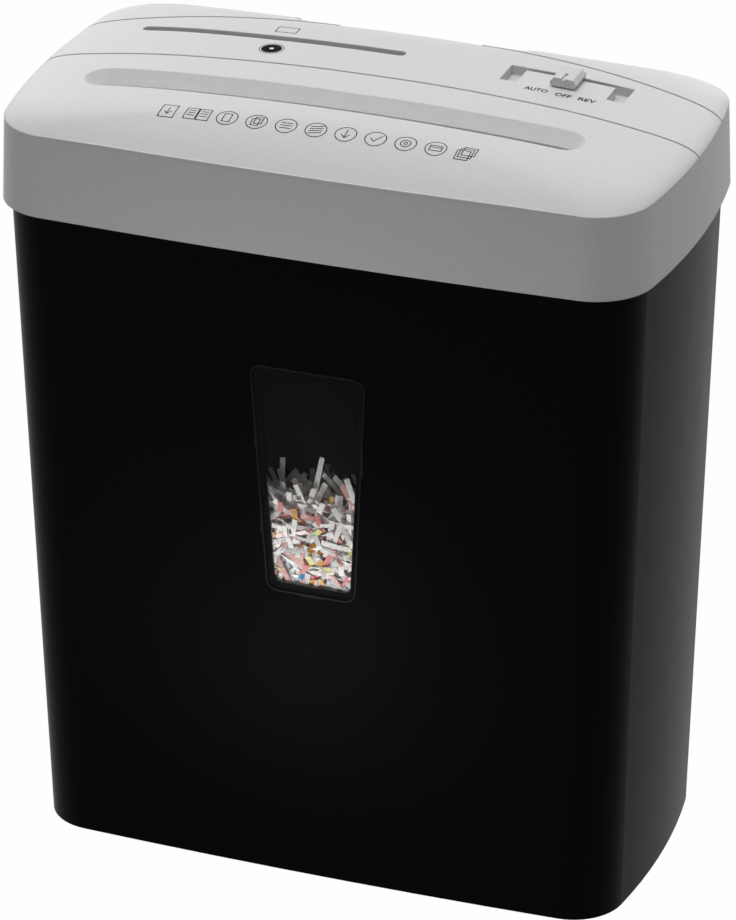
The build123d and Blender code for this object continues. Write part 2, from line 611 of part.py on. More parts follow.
# Frame plates: left, right and the inner plate of the disc cutters
MAIN_BUSH = JOURNAL_RADIUS + BUSH_WALL
DISC_BUSH = DISC_JOURNAL + 2.0
PLATE_FRONT = FRONT_Y - 18.0
PLATE_TOP = FUNNEL_Z - 2.0
with BuildPart() as left_plate:
    box(LEFT_OUT, LEFT_IN, PLATE_FRONT, REAR_Y + 22, FLOOR_Z, PLATE_TOP - 3)
    box(LEFT_OUT, LEFT_IN, REAR_Y + 20, DISC_REAR_Y + 16, FLOOR_Z, COLLAR_Z - 2)
    for y in (FRONT_Y, REAR_Y):
        rod_x(LEFT_OUT - 1, LEFT_IN + 1, y, AXIS_Z, MAIN_BUSH + RUN_FIT / 2, Mode.SUBTRACT)
    for y in (DISC_FRONT_Y, DISC_REAR_Y):
        rod_x(LEFT_OUT - 1, LEFT_IN + 1, y, DISC_Z, DISC_BUSH + RUN_FIT / 2, Mode.SUBTRACT)
    for y, z in TIE_PLACES:
        rod_x(LEFT_OUT - 1, LEFT_IN + 1, y, z, TIE_SPIGOT + RUN_FIT, Mode.SUBTRACT)
    fillet(left_plate.edges().filter_by(Axis.X).group_by(Axis.Z)[-1], 3.0)
save(left_plate.part, "left_plate")

with BuildPart() as right_plate:
    box(RIGHT_IN, RIGHT_OUT, PLATE_FRONT, MOTOR_Y + MOTOR_RADIUS, FLOOR_Z, PLATE_TOP)
    box(RIGHT_IN, RIGHT_OUT, SLOT_Y + 13.0, MOTOR_Y + MOTOR_RADIUS - 2, PLATE_TOP - 1, PLATE_TOP + 5)
    for y in (FRONT_Y, REAR_Y):
        rod_x(RIGHT_IN - 1, RIGHT_OUT + 1, y, AXIS_Z, MAIN_BUSH + RUN_FIT / 2, Mode.SUBTRACT)
    for y, z in TIE_PLACES:
        rod_x(RIGHT_IN - 1, RIGHT_OUT + 1, y, z, TIE_SPIGOT + RUN_FIT, Mode.SUBTRACT)
    for y, z in ((SECOND_Y, SECOND_Z), (FIRST_Y, FIRST_Z)):
        rod_x(RIGHT_IN - 1, RIGHT_OUT + 1, y, z, AXLE_SPIGOT + RUN_FIT, Mode.SUBTRACT)
    rod_x(RIGHT_IN - 1, RIGHT_OUT + 1, MOTOR_Y, MOTOR_Z, MOTOR_SHAFT + 4.0, Mode.SUBTRACT)
    for y, z in MOTOR_SCREWS:
        rod_x(RIGHT_IN - 1, RIGHT_OUT + 1, y, z, 1.6, Mode.SUBTRACT)
save(right_plate.part, "right_plate")

with BuildPart() as disc_plate:
    DISC_PLATE_OUT = DISC_PLATE_X + PLATE_THICK
    box(DISC_PLATE_X, DISC_PLATE_OUT, DISC_FRONT_Y - 11.4, DISC_REAR_Y + 16, FLOOR_Z, COLLAR_Z - 2)
    for y in (DISC_FRONT_Y, DISC_REAR_Y):
        rod_x(DISC_PLATE_X - 1, DISC_PLATE_OUT + 1, y, DISC_Z, DISC_BUSH + RUN_FIT / 2, Mode.SUBTRACT)
    fillet(disc_plate.edges().filter_by(Axis.X).group_by(Axis.Z)[-1], 5.0)
save(disc_plate.part, "disc_plate")

# Tie rods between the plates, and their nuts
with BuildPart() as tie_rods:
    for y, z in TIE_PLACES:
        rod_x(LEFT_IN, RIGHT_IN, y, z, TIE_RADIUS)
        rod_x(LEFT_OUT - NUT_THICK - 0.5, RIGHT_OUT + NUT_THICK + 0.5, y, z, TIE_SPIGOT)
save(tie_rods.part, "tie_rods")

with BuildPart() as tie_nuts:
    for x in (LEFT_OUT - NUT_THICK, RIGHT_OUT):
        with BuildSketch(Plane.YZ.offset(x)):
            with Locations(*TIE_PLACES):
                RegularPolygon(NUT_RADIUS, 6)
                Circle(TIE_SPIGOT + RUN_FIT, mode=Mode.SUBTRACT)
        extrude(amount=NUT_THICK)
save(tie_nuts.part, "tie_nuts")

# Bushings of the cutter shafts and of the disc cutter shafts
with BuildPart() as main_bushings:
    for y in (FRONT_Y, REAR_Y):
        rod_x(LEFT_OUT - BUSH_FLANGE, LEFT_OUT, y, AXIS_Z, MAIN_BUSH + 1.5)
        rod_x(LEFT_OUT, LEFT_IN, y, AXIS_Z, MAIN_BUSH)
        rod_x(RIGHT_IN, RIGHT_OUT, y, AXIS_Z, MAIN_BUSH)
        rod_x(RIGHT_OUT, RIGHT_OUT + BUSH_FLANGE, y, AXIS_Z, MAIN_BUSH + 1.5)
        rod_x(LEFT_OUT - 5, RIGHT_OUT + 5, y, AXIS_Z, JOURNAL_RADIUS + RUN_FIT, Mode.SUBTRACT)
save(main_bushings.part, "main_bushings")

with BuildPart() as disc_bushings:
    for y in (DISC_FRONT_Y, DISC_REAR_Y):
        rod_x(LEFT_OUT - BUSH_FLANGE, LEFT_OUT, y, DISC_Z, DISC_BUSH + 1.5)
        rod_x(LEFT_OUT, LEFT_IN, y, DISC_Z, DISC_BUSH)
        rod_x(DISC_PLATE_X, DISC_PLATE_OUT, y, DISC_Z, DISC_BUSH)
        rod_x(DISC_PLATE_OUT, DISC_PLATE_OUT + BUSH_FLANGE, y, DISC_Z, DISC_BUSH + 1.5)
        rod_x(LEFT_OUT - 5, DISC_PLATE_OUT + 5, y, DISC_Z, DISC_JOURNAL + RUN_FIT, Mode.SUBTRACT)
save(disc_bushings.part, "disc_bushings")


def notched_disc(x, y, phase):
    """Cross-cut disc with three hook notches, as a section across X."""
    with BuildSketch(Plane.YZ.offset(x)) as disc:
        with Locations((y, AXIS_Z)):
            Circle(CUTTER_RADIUS)
        for turn in range(3):
            angle = phase + turn * 2 * pi / 3
            reach = CUTTER_RADIUS - 0.4
            with Locations((y + reach * cos(angle), AXIS_Z + reach * sin(angle))):
                Rectangle(3.6, 3.0, rotation=degrees(angle) + 28.0, mode=Mode.SUBTRACT)
    return disc.sketch


# Main cutters: notched discs on a shaft, the two sets shifted by half a pitch
FIRST_DISC_X = SLOT_X - THROAT_LENGTH / 2 + CUTTER_PITCH / 4
with BuildPart() as front_cutter:
    rod_x(LEFT_IN + 0.5, RIGHT_IN - 0.5, FRONT_Y, AXIS_Z, HUB_RADIUS)
    rod_x(LEFT_OUT - 3.0, SYNC_X + SYNC_WIDTH, FRONT_Y, AXIS_Z, JOURNAL_RADIUS)
    for index in range(CUTTER_COUNT):
        x = FIRST_DISC_X + index * CUTTER_PITCH - CUTTER_THICK / 2
        extrude(notched_disc(x, FRONT_Y, -index * 0.22), amount=CUTTER_THICK)
save(front_cutter.part, "front_cutter")

with BuildPart() as rear_cutter:
    rod_x(LEFT_IN + 0.5, RIGHT_IN - 0.5, REAR_Y, AXIS_Z, HUB_RADIUS)
    rod_x(TRANSFER_X - TRANSFER_WIDTH, FINAL_X + FINAL_WIDTH, REAR_Y, AXIS_Z, JOURNAL_RADIUS)
    for index in range(CUTTER_COUNT):
        x = FIRST_DISC_X + (index + 0.5) * CUTTER_PITCH - CUTTER_THICK / 2
        extrude(notched_disc(x, REAR_Y, index * 0.22 + 1.0), amount=CUTTER_THICK)
save(rear_cutter.part, "rear_cutter")

# Stripper combs: fingers between the discs on the outer side of each cutter
COMB_LOW = AXIS_Z - 12.0
COMB_HIGH = AXIS_Z + 12.0
COMB_REACH = 9.0
COMB_BAR = 3.5
with BuildPart() as front_comb:
    BAR = FRONT_Y - CUTTER_RADIUS - 1.2
    box(LEFT_IN, RIGHT_IN, BAR - COMB_BAR, BAR, COMB_LOW, COMB_HIGH)
    for index in range(CUTTER_COUNT - 1):
        x = FIRST_DISC_X + (index + 0.5) * CUTTER_PITCH
        box(x - COMB_FINGER / 2, x + COMB_FINGER / 2, BAR - 1, BAR + COMB_REACH, COMB_LOW, COMB_HIGH)
    rod_x(LEFT_IN, RIGHT_IN, FRONT_Y, AXIS_Z, HUB_RADIUS + COMB_CLEAR, Mode.SUBTRACT)
save(front_comb.part, "front_comb")

with BuildPart() as rear_comb:
    BAR = REAR_Y + CUTTER_RADIUS + 1.0
    box(LEFT_IN, RIGHT_IN, BAR, BAR + 2.0, COMB_LOW, COMB_HIGH)
    for index in range(CUTTER_COUNT - 1):
        x = FIRST_DISC_X + (index + 1) * CUTTER_PITCH
        box(x - COMB_FINGER / 2, x + COMB_FINGER / 2, BAR - COMB_REACH, BAR + 1, COMB_LOW, COMB_HIGH)
    rod_x(LEFT_IN, RIGHT_IN, REAR_Y, AXIS_Z, HUB_RADIUS + COMB_CLEAR, Mode.SUBTRACT)
save(rear_comb.part, "rear_comb")


def plain_disc(x, y):
    """Disc-cutting wheel with four notches, as a section across X."""
    with BuildSketch(Plane.YZ.offset(x)) as disc:
        with Locations((y, DISC_Z)):
            Circle(DISC_CUTTER_RADIUS)
        for turn in range(4):
            angle = turn * pi / 2 + 0.4
            with Locations((y + DISC_CUTTER_RADIUS * cos(angle), DISC_Z + DISC_CUTTER_RADIUS * sin(angle))):
                Rectangle(2.4, 2.4, rotation=degrees(angle), mode=Mode.SUBTRACT)
    return disc.sketch


# Disc cutters: two short shafts with spaced wheels that pass side by side
with BuildPart() as disc_front_cutter:
    rod_x(LEFT_IN + 0.5, DISC_PLATE_X - 0.5, DISC_FRONT_Y, DISC_Z, DISC_CORE)
    rod_x(TRANSFER_X - TRANSFER_WIDTH, DISC_PLATE_OUT + 2.5, DISC_FRONT_Y, DISC_Z, DISC_JOURNAL)
    for index in range(DISC_CUTTER_COUNT):
        x = DISC_X + (index - (DISC_CUTTER_COUNT - 1) / 2) * DISC_CUTTER_STEP - DISC_CUTTER_THICK
        extrude(plain_disc(x, DISC_FRONT_Y), amount=DISC_CUTTER_THICK)
save(disc_front_cutter.part, "disc_front_cutter")

with BuildPart() as disc_rear_cutter:
    rod_x(LEFT_IN + 0.5, DISC_PLATE_X - 0.5, DISC_REAR_Y, DISC_Z, DISC_CORE)
    rod_x(DISC_GEAR_X - DISC_GEAR_WIDTH, DISC_PLATE_OUT + 2.5, DISC_REAR_Y, DISC_Z, DISC_JOURNAL)
    for index in range(DISC_CUTTER_COUNT):
        x = DISC_X + (index - (DISC_CUTTER_COUNT - 1) / 2) * DISC_CUTTER_STEP + 0.4
        extrude(plain_disc(x, DISC_REAR_Y), amount=DISC_CUTTER_THICK)
save(disc_rear_cutter.part, "disc_rear_cutter")

# Gears: places, modules from the centre distances, and phases that mesh at rest
FRONT_AXIS = (FRONT_Y, AXIS_Z)
REAR_AXIS = (REAR_Y, AXIS_Z)
DISC_FRONT_AXIS = (DISC_FRONT_Y, DISC_Z)
DISC_REAR_AXIS = (DISC_REAR_Y, DISC_Z)
SECOND_AXIS = (SECOND_Y, SECOND_Z)
FIRST_AXIS = (FIRST_Y, FIRST_Z)
MOTOR_AXIS = (MOTOR_Y, MOTOR_Z)
SYNC_MODULE = SHAFT_SPACING / SYNC_TEETH
DISC_MODULE = DISC_SHAFT_SPACING / DISC_TEETH
TRANSFER_SPAN = hypot(DISC_FRONT_Y - REAR_Y, DISC_Z - AXIS_Z)
TRANSFER_MODULE = 2 * TRANSFER_SPAN / (TRANSFER_TEETH + TRANSFER_DRIVEN_TEETH)
FINAL_MODULE = 2 * hypot(SECOND_DY, SECOND_DZ) / (FINAL_TEETH + PINION_TEETH)
SECOND_SPAN = hypot(FIRST_DY - SECOND_DY, FIRST_DZ - SECOND_DZ)
SECOND_MODULE = 2 * SECOND_SPAN / (SECOND_TEETH + PINION_TEETH)
MOTOR_SPAN = hypot(MOTOR_DY - FIRST_DY, MOTOR_DZ - FIRST_DZ)
MOTOR_MODULE = 2 * MOTOR_SPAN / (FIRST_TEETH + PINION_TEETH)
FRONT_PHASE = mesh_phase(REAR_AXIS, FRONT_AXIS, SYNC_TEETH, 0.0, SYNC_TEETH)
SECOND_PINION_PHASE = mesh_phase(REAR_AXIS, SECOND_AXIS, FINAL_TEETH, 0.0, PINION_TEETH)
FIRST_PINION_PHASE = mesh_phase(SECOND_AXIS, FIRST_AXIS, SECOND_TEETH, 0.0, PINION_TEETH)
MOTOR_PHASE = mesh_phase(FIRST_AXIS, MOTOR_AXIS, FIRST_TEETH, 0.0, PINION_TEETH)
DRIVEN_PHASE = mesh_phase(REAR_AXIS, DISC_FRONT_AXIS, TRANSFER_TEETH, 0.0, TRANSFER_DRIVEN_TEETH)
DISC_PHASE = mesh_phase(DISC_FRONT_AXIS, DISC_REAR_AXIS, DISC_TEETH, 0.0, DISC_TEETH)
JOURNAL_BORE = JOURNAL_RADIUS + RUN_FIT
DISC_BORE = DISC_JOURNAL + RUN_FIT
AXLE_BORE = AXLE_RADIUS + RUN_FIT

with BuildPart() as front_sync_gear:
    extrude(gear_face(SYNC_X, FRONT_AXIS, SYNC_TEETH, SYNC_MODULE, FRONT_PHASE, JOURNAL_BORE),
            amount=SYNC_WIDTH)
save(front_sync_gear.part, "front_sync_gear")

with BuildPart() as rear_sync_gear:
    extrude(gear_face(SYNC_X, REAR_AXIS, SYNC_TEETH, SYNC_MODULE, 0.0, JOURNAL_BORE), amount=SYNC_WIDTH)
save(rear_sync_gear.part, "rear_sync_gear")

with BuildPart() as final_gear:
    extrude(gear_face(FINAL_X, REAR_AXIS, FINAL_TEETH, FINAL_MODULE, 0.0, JOURNAL_BORE), amount=FINAL_WIDTH)
save(final_gear.part, "final_gear")

with BuildPart() as second_gear:
    extrude(gear_face(FINAL_X, SECOND_AXIS, PINION_TEETH, FINAL_MODULE, SECOND_PINION_PHASE, AXLE_BORE),
            amount=FINAL_WIDTH + GEAR_GAP)
    extrude(gear_face(OUTER_X, SECOND_AXIS, SECOND_TEETH, SECOND_MODULE, 0.0, AXLE_BORE), amount=OUTER_WIDTH)
    rod_x(RIGHT_OUT + 0.5, GEAR_COVER_X - 0.5, *SECOND_AXIS, GEAR_HUB)
    rod_x(RIGHT_OUT, GEAR_COVER_X, *SECOND_AXIS, AXLE_BORE, Mode.SUBTRACT)
save(second_gear.part, "second_gear")

FIRST_WHEEL_X = SYNC_X + 1.0
with BuildPart() as first_gear:
    extrude(gear_face(FIRST_WHEEL_X, FIRST_AXIS, FIRST_TEETH, MOTOR_MODULE, 0.0, AXLE_BORE), amount=6.0)
    extrude(gear_face(OUTER_X - 0.3, FIRST_AXIS, PINION_TEETH, SECOND_MODULE, FIRST_PINION_PHASE, AXLE_BORE),
            amount=OUTER_WIDTH + 0.6)
    rod_x(RIGHT_OUT + 0.5, GEAR_COVER_X - 0.5, *FIRST_AXIS, GEAR_HUB)
    rod_x(RIGHT_OUT, GEAR_COVER_X, *FIRST_AXIS, AXLE_BORE, Mode.SUBTRACT)
save(first_gear.part, "first_gear")

with BuildPart() as motor_pinion:
    extrude(gear_face(FIRST_WHEEL_X - 0.5, MOTOR_AXIS, PINION_TEETH, MOTOR_MODULE, MOTOR_PHASE,
                      MOTOR_SHAFT + RUN_FIT), amount=7.0)
save(motor_pinion.part, "motor_pinion")

with BuildPart() as transfer_gear:
    extrude(gear_face(TRANSFER_X - TRANSFER_WIDTH, REAR_AXIS, TRANSFER_TEETH, TRANSFER_MODULE, 0.0,
                      JOURNAL_BORE), amount=TRANSFER_WIDTH)
save(transfer_gear.part, "transfer_gear")

with BuildPart() as transfer_driven_gear:
    extrude(gear_face(TRANSFER_X - TRANSFER_WIDTH, DISC_FRONT_AXIS, TRANSFER_DRIVEN_TEETH, TRANSFER_MODULE,
                      DRIVEN_PHASE, DISC_BORE), amount=TRANSFER_WIDTH)
save(transfer_driven_gear.part, "transfer_driven_gear")

with BuildPart() as disc_front_gear:
    extrude(gear_face(DISC_GEAR_X - DISC_GEAR_WIDTH, DISC_FRONT_AXIS, DISC_TEETH, DISC_MODULE, 0.0,
                      DISC_BORE),
            amount=DISC_GEAR_WIDTH)
save(disc_front_gear.part, "disc_front_gear")

with BuildPart() as disc_rear_gear:
    extrude(gear_face(DISC_GEAR_X - DISC_GEAR_WIDTH, DISC_REAR_AXIS, DISC_TEETH, DISC_MODULE, DISC_PHASE,
                      DISC_BORE), amount=DISC_GEAR_WIDTH)
save(disc_rear_gear.part, "disc_rear_gear")

# Pins of the two compound gears, the outboard gear cover and its clips
with BuildPart() as gear_axles:
    for y, z in (SECOND_AXIS, FIRST_AXIS):
        rod_x(RIGHT_OUT, GEAR_COVER_X + PLATE_THICK + 2.0, y, z, AXLE_RADIUS)
        rod_x(RIGHT_IN, RIGHT_OUT + 1, y, z, AXLE_SPIGOT)
save(gear_axles.part, "gear_axles")

with BuildPart() as gear_cover:
    box(GEAR_COVER_X, GEAR_COVER_X + PLATE_THICK, REAR_Y - 20, MOTOR_Y + 1, FLOOR_Z + 1.5, PLATE_TOP + 4)
    box(GEAR_COVER_X, GEAR_COVER_X + PLATE_THICK, MOTOR_Y, MOTOR_Y + 7, POST_Z + 2, PLATE_TOP + 4)
    for y, z in ((REAR_Y - 16, AXIS_Z - 25), (MOTOR_Y + 3, MOTOR_Z + 15.5), (REAR_Y + 5.3, AXIS_Z + 31)):
        rod_x(RIGHT_OUT, GEAR_COVER_X + 1, y, z, 3.2)
    for y, z in (SECOND_AXIS, FIRST_AXIS):
        rod_x(GEAR_COVER_X - 1, GEAR_COVER_X + 5, y, z, AXLE_BORE, Mode.SUBTRACT)
save(gear_cover.part, "gear_cover")

with BuildPart() as axle_clips:
    for y, z in (SECOND_AXIS, FIRST_AXIS):
        CLIP_X = GEAR_COVER_X + PLATE_THICK
        rod_x(CLIP_X, CLIP_X + 1.0, y, z, AXLE_RADIUS + 2.0)
        rod_x(CLIP_X - 1, CLIP_X + 2, y, z, AXLE_BORE, Mode.SUBTRACT)
        box(CLIP_X - 1, CLIP_X + 2, y - 1.6, y + 1.6, z - 6, z, Mode.SUBTRACT)
save(axle_clips.part, "axle_clips")

# Motor: can, magnets, end cap and screws stay; rotor, pinion and fan turn
MOTOR_IN = MOTOR_RADIUS - MOTOR_WALL
FAN_X = MOTOR_REAR_X - 13.0
with BuildPart() as motor_can:
    rod_x(MOTOR_REAR_X, RIGHT_IN, *MOTOR_AXIS, MOTOR_RADIUS)
    rod_x(MOTOR_REAR_X - 1, RIGHT_IN - 2.5, *MOTOR_AXIS, MOTOR_IN, Mode.SUBTRACT)
    rod_x(RIGHT_IN - 5, RIGHT_IN + 1, *MOTOR_AXIS, MOTOR_SHAFT + RUN_FIT, Mode.SUBTRACT)
    for y, z in MOTOR_SCREWS:
        rod_x(RIGHT_IN - 5, RIGHT_IN + 1, y, z, 1.5, Mode.SUBTRACT)
save(motor_can.part, "motor_can")

with BuildPart() as motor_magnets:
    rod_x(MOTOR_REAR_X + 14, RIGHT_IN - 10, *MOTOR_AXIS, MOTOR_IN - RUN_FIT)
    rod_x(MOTOR_REAR_X + 13, RIGHT_IN - 9, *MOTOR_AXIS, MOTOR_IN - MAGNET_THICK, Mode.SUBTRACT)
    box(MOTOR_REAR_X, RIGHT_IN, MOTOR_Y - 30, MOTOR_Y + 30, MOTOR_Z - 6, MOTOR_Z + 6, Mode.SUBTRACT)
save(motor_magnets.part, "motor_magnets")

with BuildPart() as motor_end_cap:
    rod_x(MOTOR_REAR_X - 3, MOTOR_REAR_X, *MOTOR_AXIS, MOTOR_RADIUS)
    rod_x(MOTOR_REAR_X - 0.5, MOTOR_REAR_X + 3, *MOTOR_AXIS, MOTOR_IN - RUN_FIT)
    rod_x(MOTOR_REAR_X - 5, MOTOR_REAR_X + 5, *MOTOR_AXIS, MOTOR_SHAFT + RUN_FIT, Mode.SUBTRACT)
save(motor_end_cap.part, "motor_end_cap")

with BuildPart() as motor_screws:
    for y, z in MOTOR_SCREWS:
        rod_x(RIGHT_OUT, RIGHT_OUT + 1.2, y, z, 2.8)
        rod_x(RIGHT_IN - 2.4, RIGHT_OUT + 0.5, y, z, 1.45)
save(motor_screws.part, "motor_screws")

with BuildPart() as motor_rotor:
    rod_x(FAN_X - 1, FIRST_WHEEL_X + 6.5, *MOTOR_AXIS, MOTOR_SHAFT)
    rod_x(MOTOR_REAR_X + 18, RIGHT_IN - 14, *MOTOR_AXIS, ARMATURE_RADIUS)
    rod_x(MOTOR_REAR_X + 6, MOTOR_REAR_X + 14, *MOTOR_AXIS, 6.5)
save(motor_rotor.part, "motor_rotor")

with BuildPart() as cooling_fan:
    rod_x(FAN_X, FAN_X + 1.2, *MOTOR_AXIS, FAN_RADIUS)
    rod_x(FAN_X, FAN_X + 7, *MOTOR_AXIS, 6.0)
    for turn in range(8):
        angle = turn * pi / 4
        MID_R = (FAN_RADIUS + 5.0) / 2
        with Locations(Location((FAN_X + 3.5, MOTOR_Y + MID_R * cos(angle), MOTOR_Z + MID_R * sin(angle)),
                                (degrees(angle), 0, 0))):
            Box(7.0, FAN_RADIUS - 5.0, 1.0)
    rod_x(FAN_X - 1, FAN_X + 8, *MOTOR_AXIS, MOTOR_SHAFT + RUN_FIT, Mode.SUBTRACT)
save(cooling_fan.part, "cooling_fan")

# Paper chute under the funnel, with the ears and bracket of the sensor
CHUTE_HALF = THROAT_LENGTH / 2 + CHUTE_WALL
CHUTE_BACK = SLOT_Y + THROAT_WIDTH / 2 + CHUTE_WALL
PIVOT_Y = SLOT_Y + SENSOR_PIVOT_DY
PIVOT_Z = CHUTE_Z + 7.0
EAR_IN = SENSOR_SLOT / 2 + 2.5
with BuildPart() as paper_chute:
    box(SLOT_X - CHUTE_HALF, SLOT_X + CHUTE_HALF, SLOT_Y - THROAT_WIDTH / 2 - CHUTE_WALL, CHUTE_BACK,
        CHUTE_Z, FUNNEL_Z)
    box(SLOT_X - THROAT_LENGTH / 2, SLOT_X + THROAT_LENGTH / 2, SLOT_Y - THROAT_WIDTH / 2,
        SLOT_Y + THROAT_WIDTH / 2, CHUTE_Z - 1, FUNNEL_Z + 1, Mode.SUBTRACT)
    box(SLOT_X - SENSOR_SLOT / 2, SLOT_X + SENSOR_SLOT / 2, SLOT_Y - 10, SLOT_Y + 10, CHUTE_Z - 1,
        PIVOT_Z + 3, Mode.SUBTRACT)
    box(SLOT_X - EAR_IN - 2, SLOT_X - EAR_IN, CHUTE_BACK - 1, PIVOT_Y + 3.5, PIVOT_Z - 4, PIVOT_Z + 4)
    box(SLOT_X + EAR_IN, SLOT_X + EAR_IN + 2, CHUTE_BACK - 1, PIVOT_Y + 13, PIVOT_Z - 4, PIVOT_Z + 4)
    box(SLOT_X + EAR_IN, SLOT_X + EAR_IN + 2, PIVOT_Y + 1, PIVOT_Y + 13, PIVOT_Z - 4, PIVOT_Z + 16)
    rod_x(SLOT_X - 20, SLOT_X + 20, PIVOT_Y, PIVOT_Z, SENSOR_PIN + RUN_FIT, Mode.SUBTRACT)
save(paper_chute.part, "paper_chute")

with BuildPart() as sensor_lever:
    rod_x(SLOT_X - EAR_IN - 2.2, SLOT_X + EAR_IN + 2.2, PIVOT_Y, PIVOT_Z, SENSOR_PIN)
    rod_x(SLOT_X - 4, SLOT_X + 4, PIVOT_Y, PIVOT_Z, 3.0)
    box(SLOT_X - 2, SLOT_X + 2, SLOT_Y - THROAT_WIDTH / 2 - 1, PIVOT_Y, PIVOT_Z - 1, PIVOT_Z + 1)
    box(SLOT_X - 2, SLOT_X + 2, PIVOT_Y, PIVOT_Y + 10, PIVOT_Z - 1.2, PIVOT_Z + 1.2)
save(sensor_lever.part, "sensor_lever")

with BuildPart() as paper_switch:
    box(SLOT_X + EAR_IN - 20, SLOT_X + EAR_IN, PIVOT_Y + 6, PIVOT_Y + 12.5, PIVOT_Z + 8, PIVOT_Z + 16)
    box(SLOT_X - 1.5, SLOT_X + 1.5, PIVOT_Y + 8, PIVOT_Y + 10, PIVOT_Z + 6.8, PIVOT_Z + 8.5)
save(paper_switch.part, "paper_switch")

# Interlock: plunger on the bin tab and the switch above it
with BuildPart() as safety_plunger:
    rod_z(SAFETY_X, PLUNGER_Y, BIN_HEIGHT, SWITCH_SEAT - 0.6, PLUNGER_RADIUS)
    rod_z(SAFETY_X, PLUNGER_Y, FLANGE_Z + PLUNGER_STROKE + 0.5, SWITCH_SEAT - 0.6, 2.4)
save(safety_plunger.part, "safety_plunger")

with BuildPart() as safety_switch:
    box(SAFETY_X - 10, SAFETY_X + 10, PLUNGER_Y - 3.2, PLUNGER_Y + 3.2, SWITCH_SEAT, SWITCH_SEAT + 10)
save(safety_switch.part, "safety_switch")

# Circuit board standing on the pan floor, and its components
BOARD_Y = DISC_REAR_Y + 18.0
with BuildPart() as control_board:
    box(DISC_X - 58, DISC_X + 52, BOARD_Y, BOARD_Y + 1.6, FLOOR_Z, FLOOR_Z + 38)
save(control_board.part, "control_board")

with BuildPart() as board_parts:
    box(DISC_X - 4, DISC_X + 15, BOARD_Y - 10, BOARD_Y, FLOOR_Z + 3, FLOOR_Z + 18)
    box(DISC_X + 24, DISC_X + 44, BOARD_Y - 7, BOARD_Y, FLOOR_Z + 4, FLOOR_Z + 16)
    rod_y(DISC_X - 24, BOARD_Y - 11, BOARD_Y, FLOOR_Z + 11, 6.0)
    rod_y(DISC_X - 42, BOARD_Y - 8, BOARD_Y, FLOOR_Z + 10, 4.0)
save(board_parts.part, "board_parts")

# Mode switch under the cover and the knob that rides in its slit
with BuildPart() as mode_switch:
    BODY_HALF = NECK_RUN + 2.5
    BODY_LOW = -SWITCH_BLOCK_DEPTH - SWITCH_BODY_HEIGHT
    switch_box(-BODY_HALF, BODY_HALF, -6.0, 5.0, BODY_LOW, -SWITCH_BLOCK_DEPTH)
    switch_box(-NECK_RUN, NECK_RUN, -SLIT_BACK, SLIT_BACK, -SWITCH_BLOCK_DEPTH - 4.0, 0.0, Mode.SUBTRACT)
save(mode_switch.part, "mode_switch")

with BuildPart() as mode_knob:
    KNOB_HALF = KNOB_WIDTH / 2
    KNOB_TOP = KNOB_LIFT + KNOB_HEIGHT
    CROWN_HALF = KNOB_HALF * KNOB_TOP_SHARE
    SWELL = (KNOB_HALF + KNOB_SWELL, KNOB_LIFT + KNOB_HEIGHT * 0.45)
    with BuildSketch(Plane(SWITCH_PLANE.origin, x_dir=SWITCH_PLANE.x_dir, z_dir=(0, -1, 0))):
        Polygon((-KNOB_HALF, KNOB_LIFT), (KNOB_HALF, KNOB_LIFT), SWELL, (CROWN_HALF, KNOB_TOP),
                (-CROWN_HALF, KNOB_TOP), (-SWELL[0], SWELL[1]), align=None)
    KNOB_FRONT = KNOB_LENGTH - 2.0
    extrude(amount=KNOB_FRONT)
    switch_box(-KNOB_HALF, KNOB_HALF, -1.0, 2.0, KNOB_LIFT, KNOB_TOP - 1.6)
    switch_box(-POINTER_WIDTH / 2, POINTER_WIDTH / 2, -KNOB_FRONT - 1, POINTER_LENGTH - KNOB_FRONT,
               KNOB_TOP - POINTER_DEPTH, KNOB_TOP + 1, Mode.SUBTRACT)
    NECK_SIDE = SLIT_BACK - KNOB_FIT
    switch_box(-KNOB_HALF + 1.5, KNOB_HALF - 1.5, -NECK_SIDE, NECK_SIDE, -SWITCH_BLOCK_DEPTH - 3.2,
               KNOB_LIFT + 1.0)
save(mode_knob.part, "mode_knob")

# Cord gland in the back wall of the cover
with BuildPart() as cord_gland:
    WALL_IN = HEAD_DEPTH / 2 - HEAD_DRAFT - COVER_WALL - 0.6
    rod_y(GLAND_X, WALL_IN - 9, WALL_IN + COVER_WALL, GLAND_Z, 5.5)
    rod_y(GLAND_X, WALL_IN - 2.5, WALL_IN - 0.3, GLAND_Z, 8.0)
    rod_y(GLAND_X, WALL_IN - 12, WALL_IN + 12, GLAND_Z, 3.6, Mode.SUBTRACT)
save(cord_gland.part, "cord_gland")
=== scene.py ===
import math
import random

import bpy
from mathutils import Matrix, Vector
from mathutils.bvhtree import BVHTree


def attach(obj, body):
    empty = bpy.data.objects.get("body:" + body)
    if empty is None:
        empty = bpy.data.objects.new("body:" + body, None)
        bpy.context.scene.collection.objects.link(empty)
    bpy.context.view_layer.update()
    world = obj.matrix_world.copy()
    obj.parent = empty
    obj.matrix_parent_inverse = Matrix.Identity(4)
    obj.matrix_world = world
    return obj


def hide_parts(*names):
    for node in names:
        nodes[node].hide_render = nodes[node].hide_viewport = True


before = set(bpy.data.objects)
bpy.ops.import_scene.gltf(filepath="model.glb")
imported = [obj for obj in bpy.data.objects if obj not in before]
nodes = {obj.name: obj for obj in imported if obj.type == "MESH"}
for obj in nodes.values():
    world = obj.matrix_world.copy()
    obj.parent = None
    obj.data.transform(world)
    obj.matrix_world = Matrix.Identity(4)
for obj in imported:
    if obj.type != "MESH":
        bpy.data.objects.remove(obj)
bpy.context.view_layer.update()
scene = bpy.context.scene

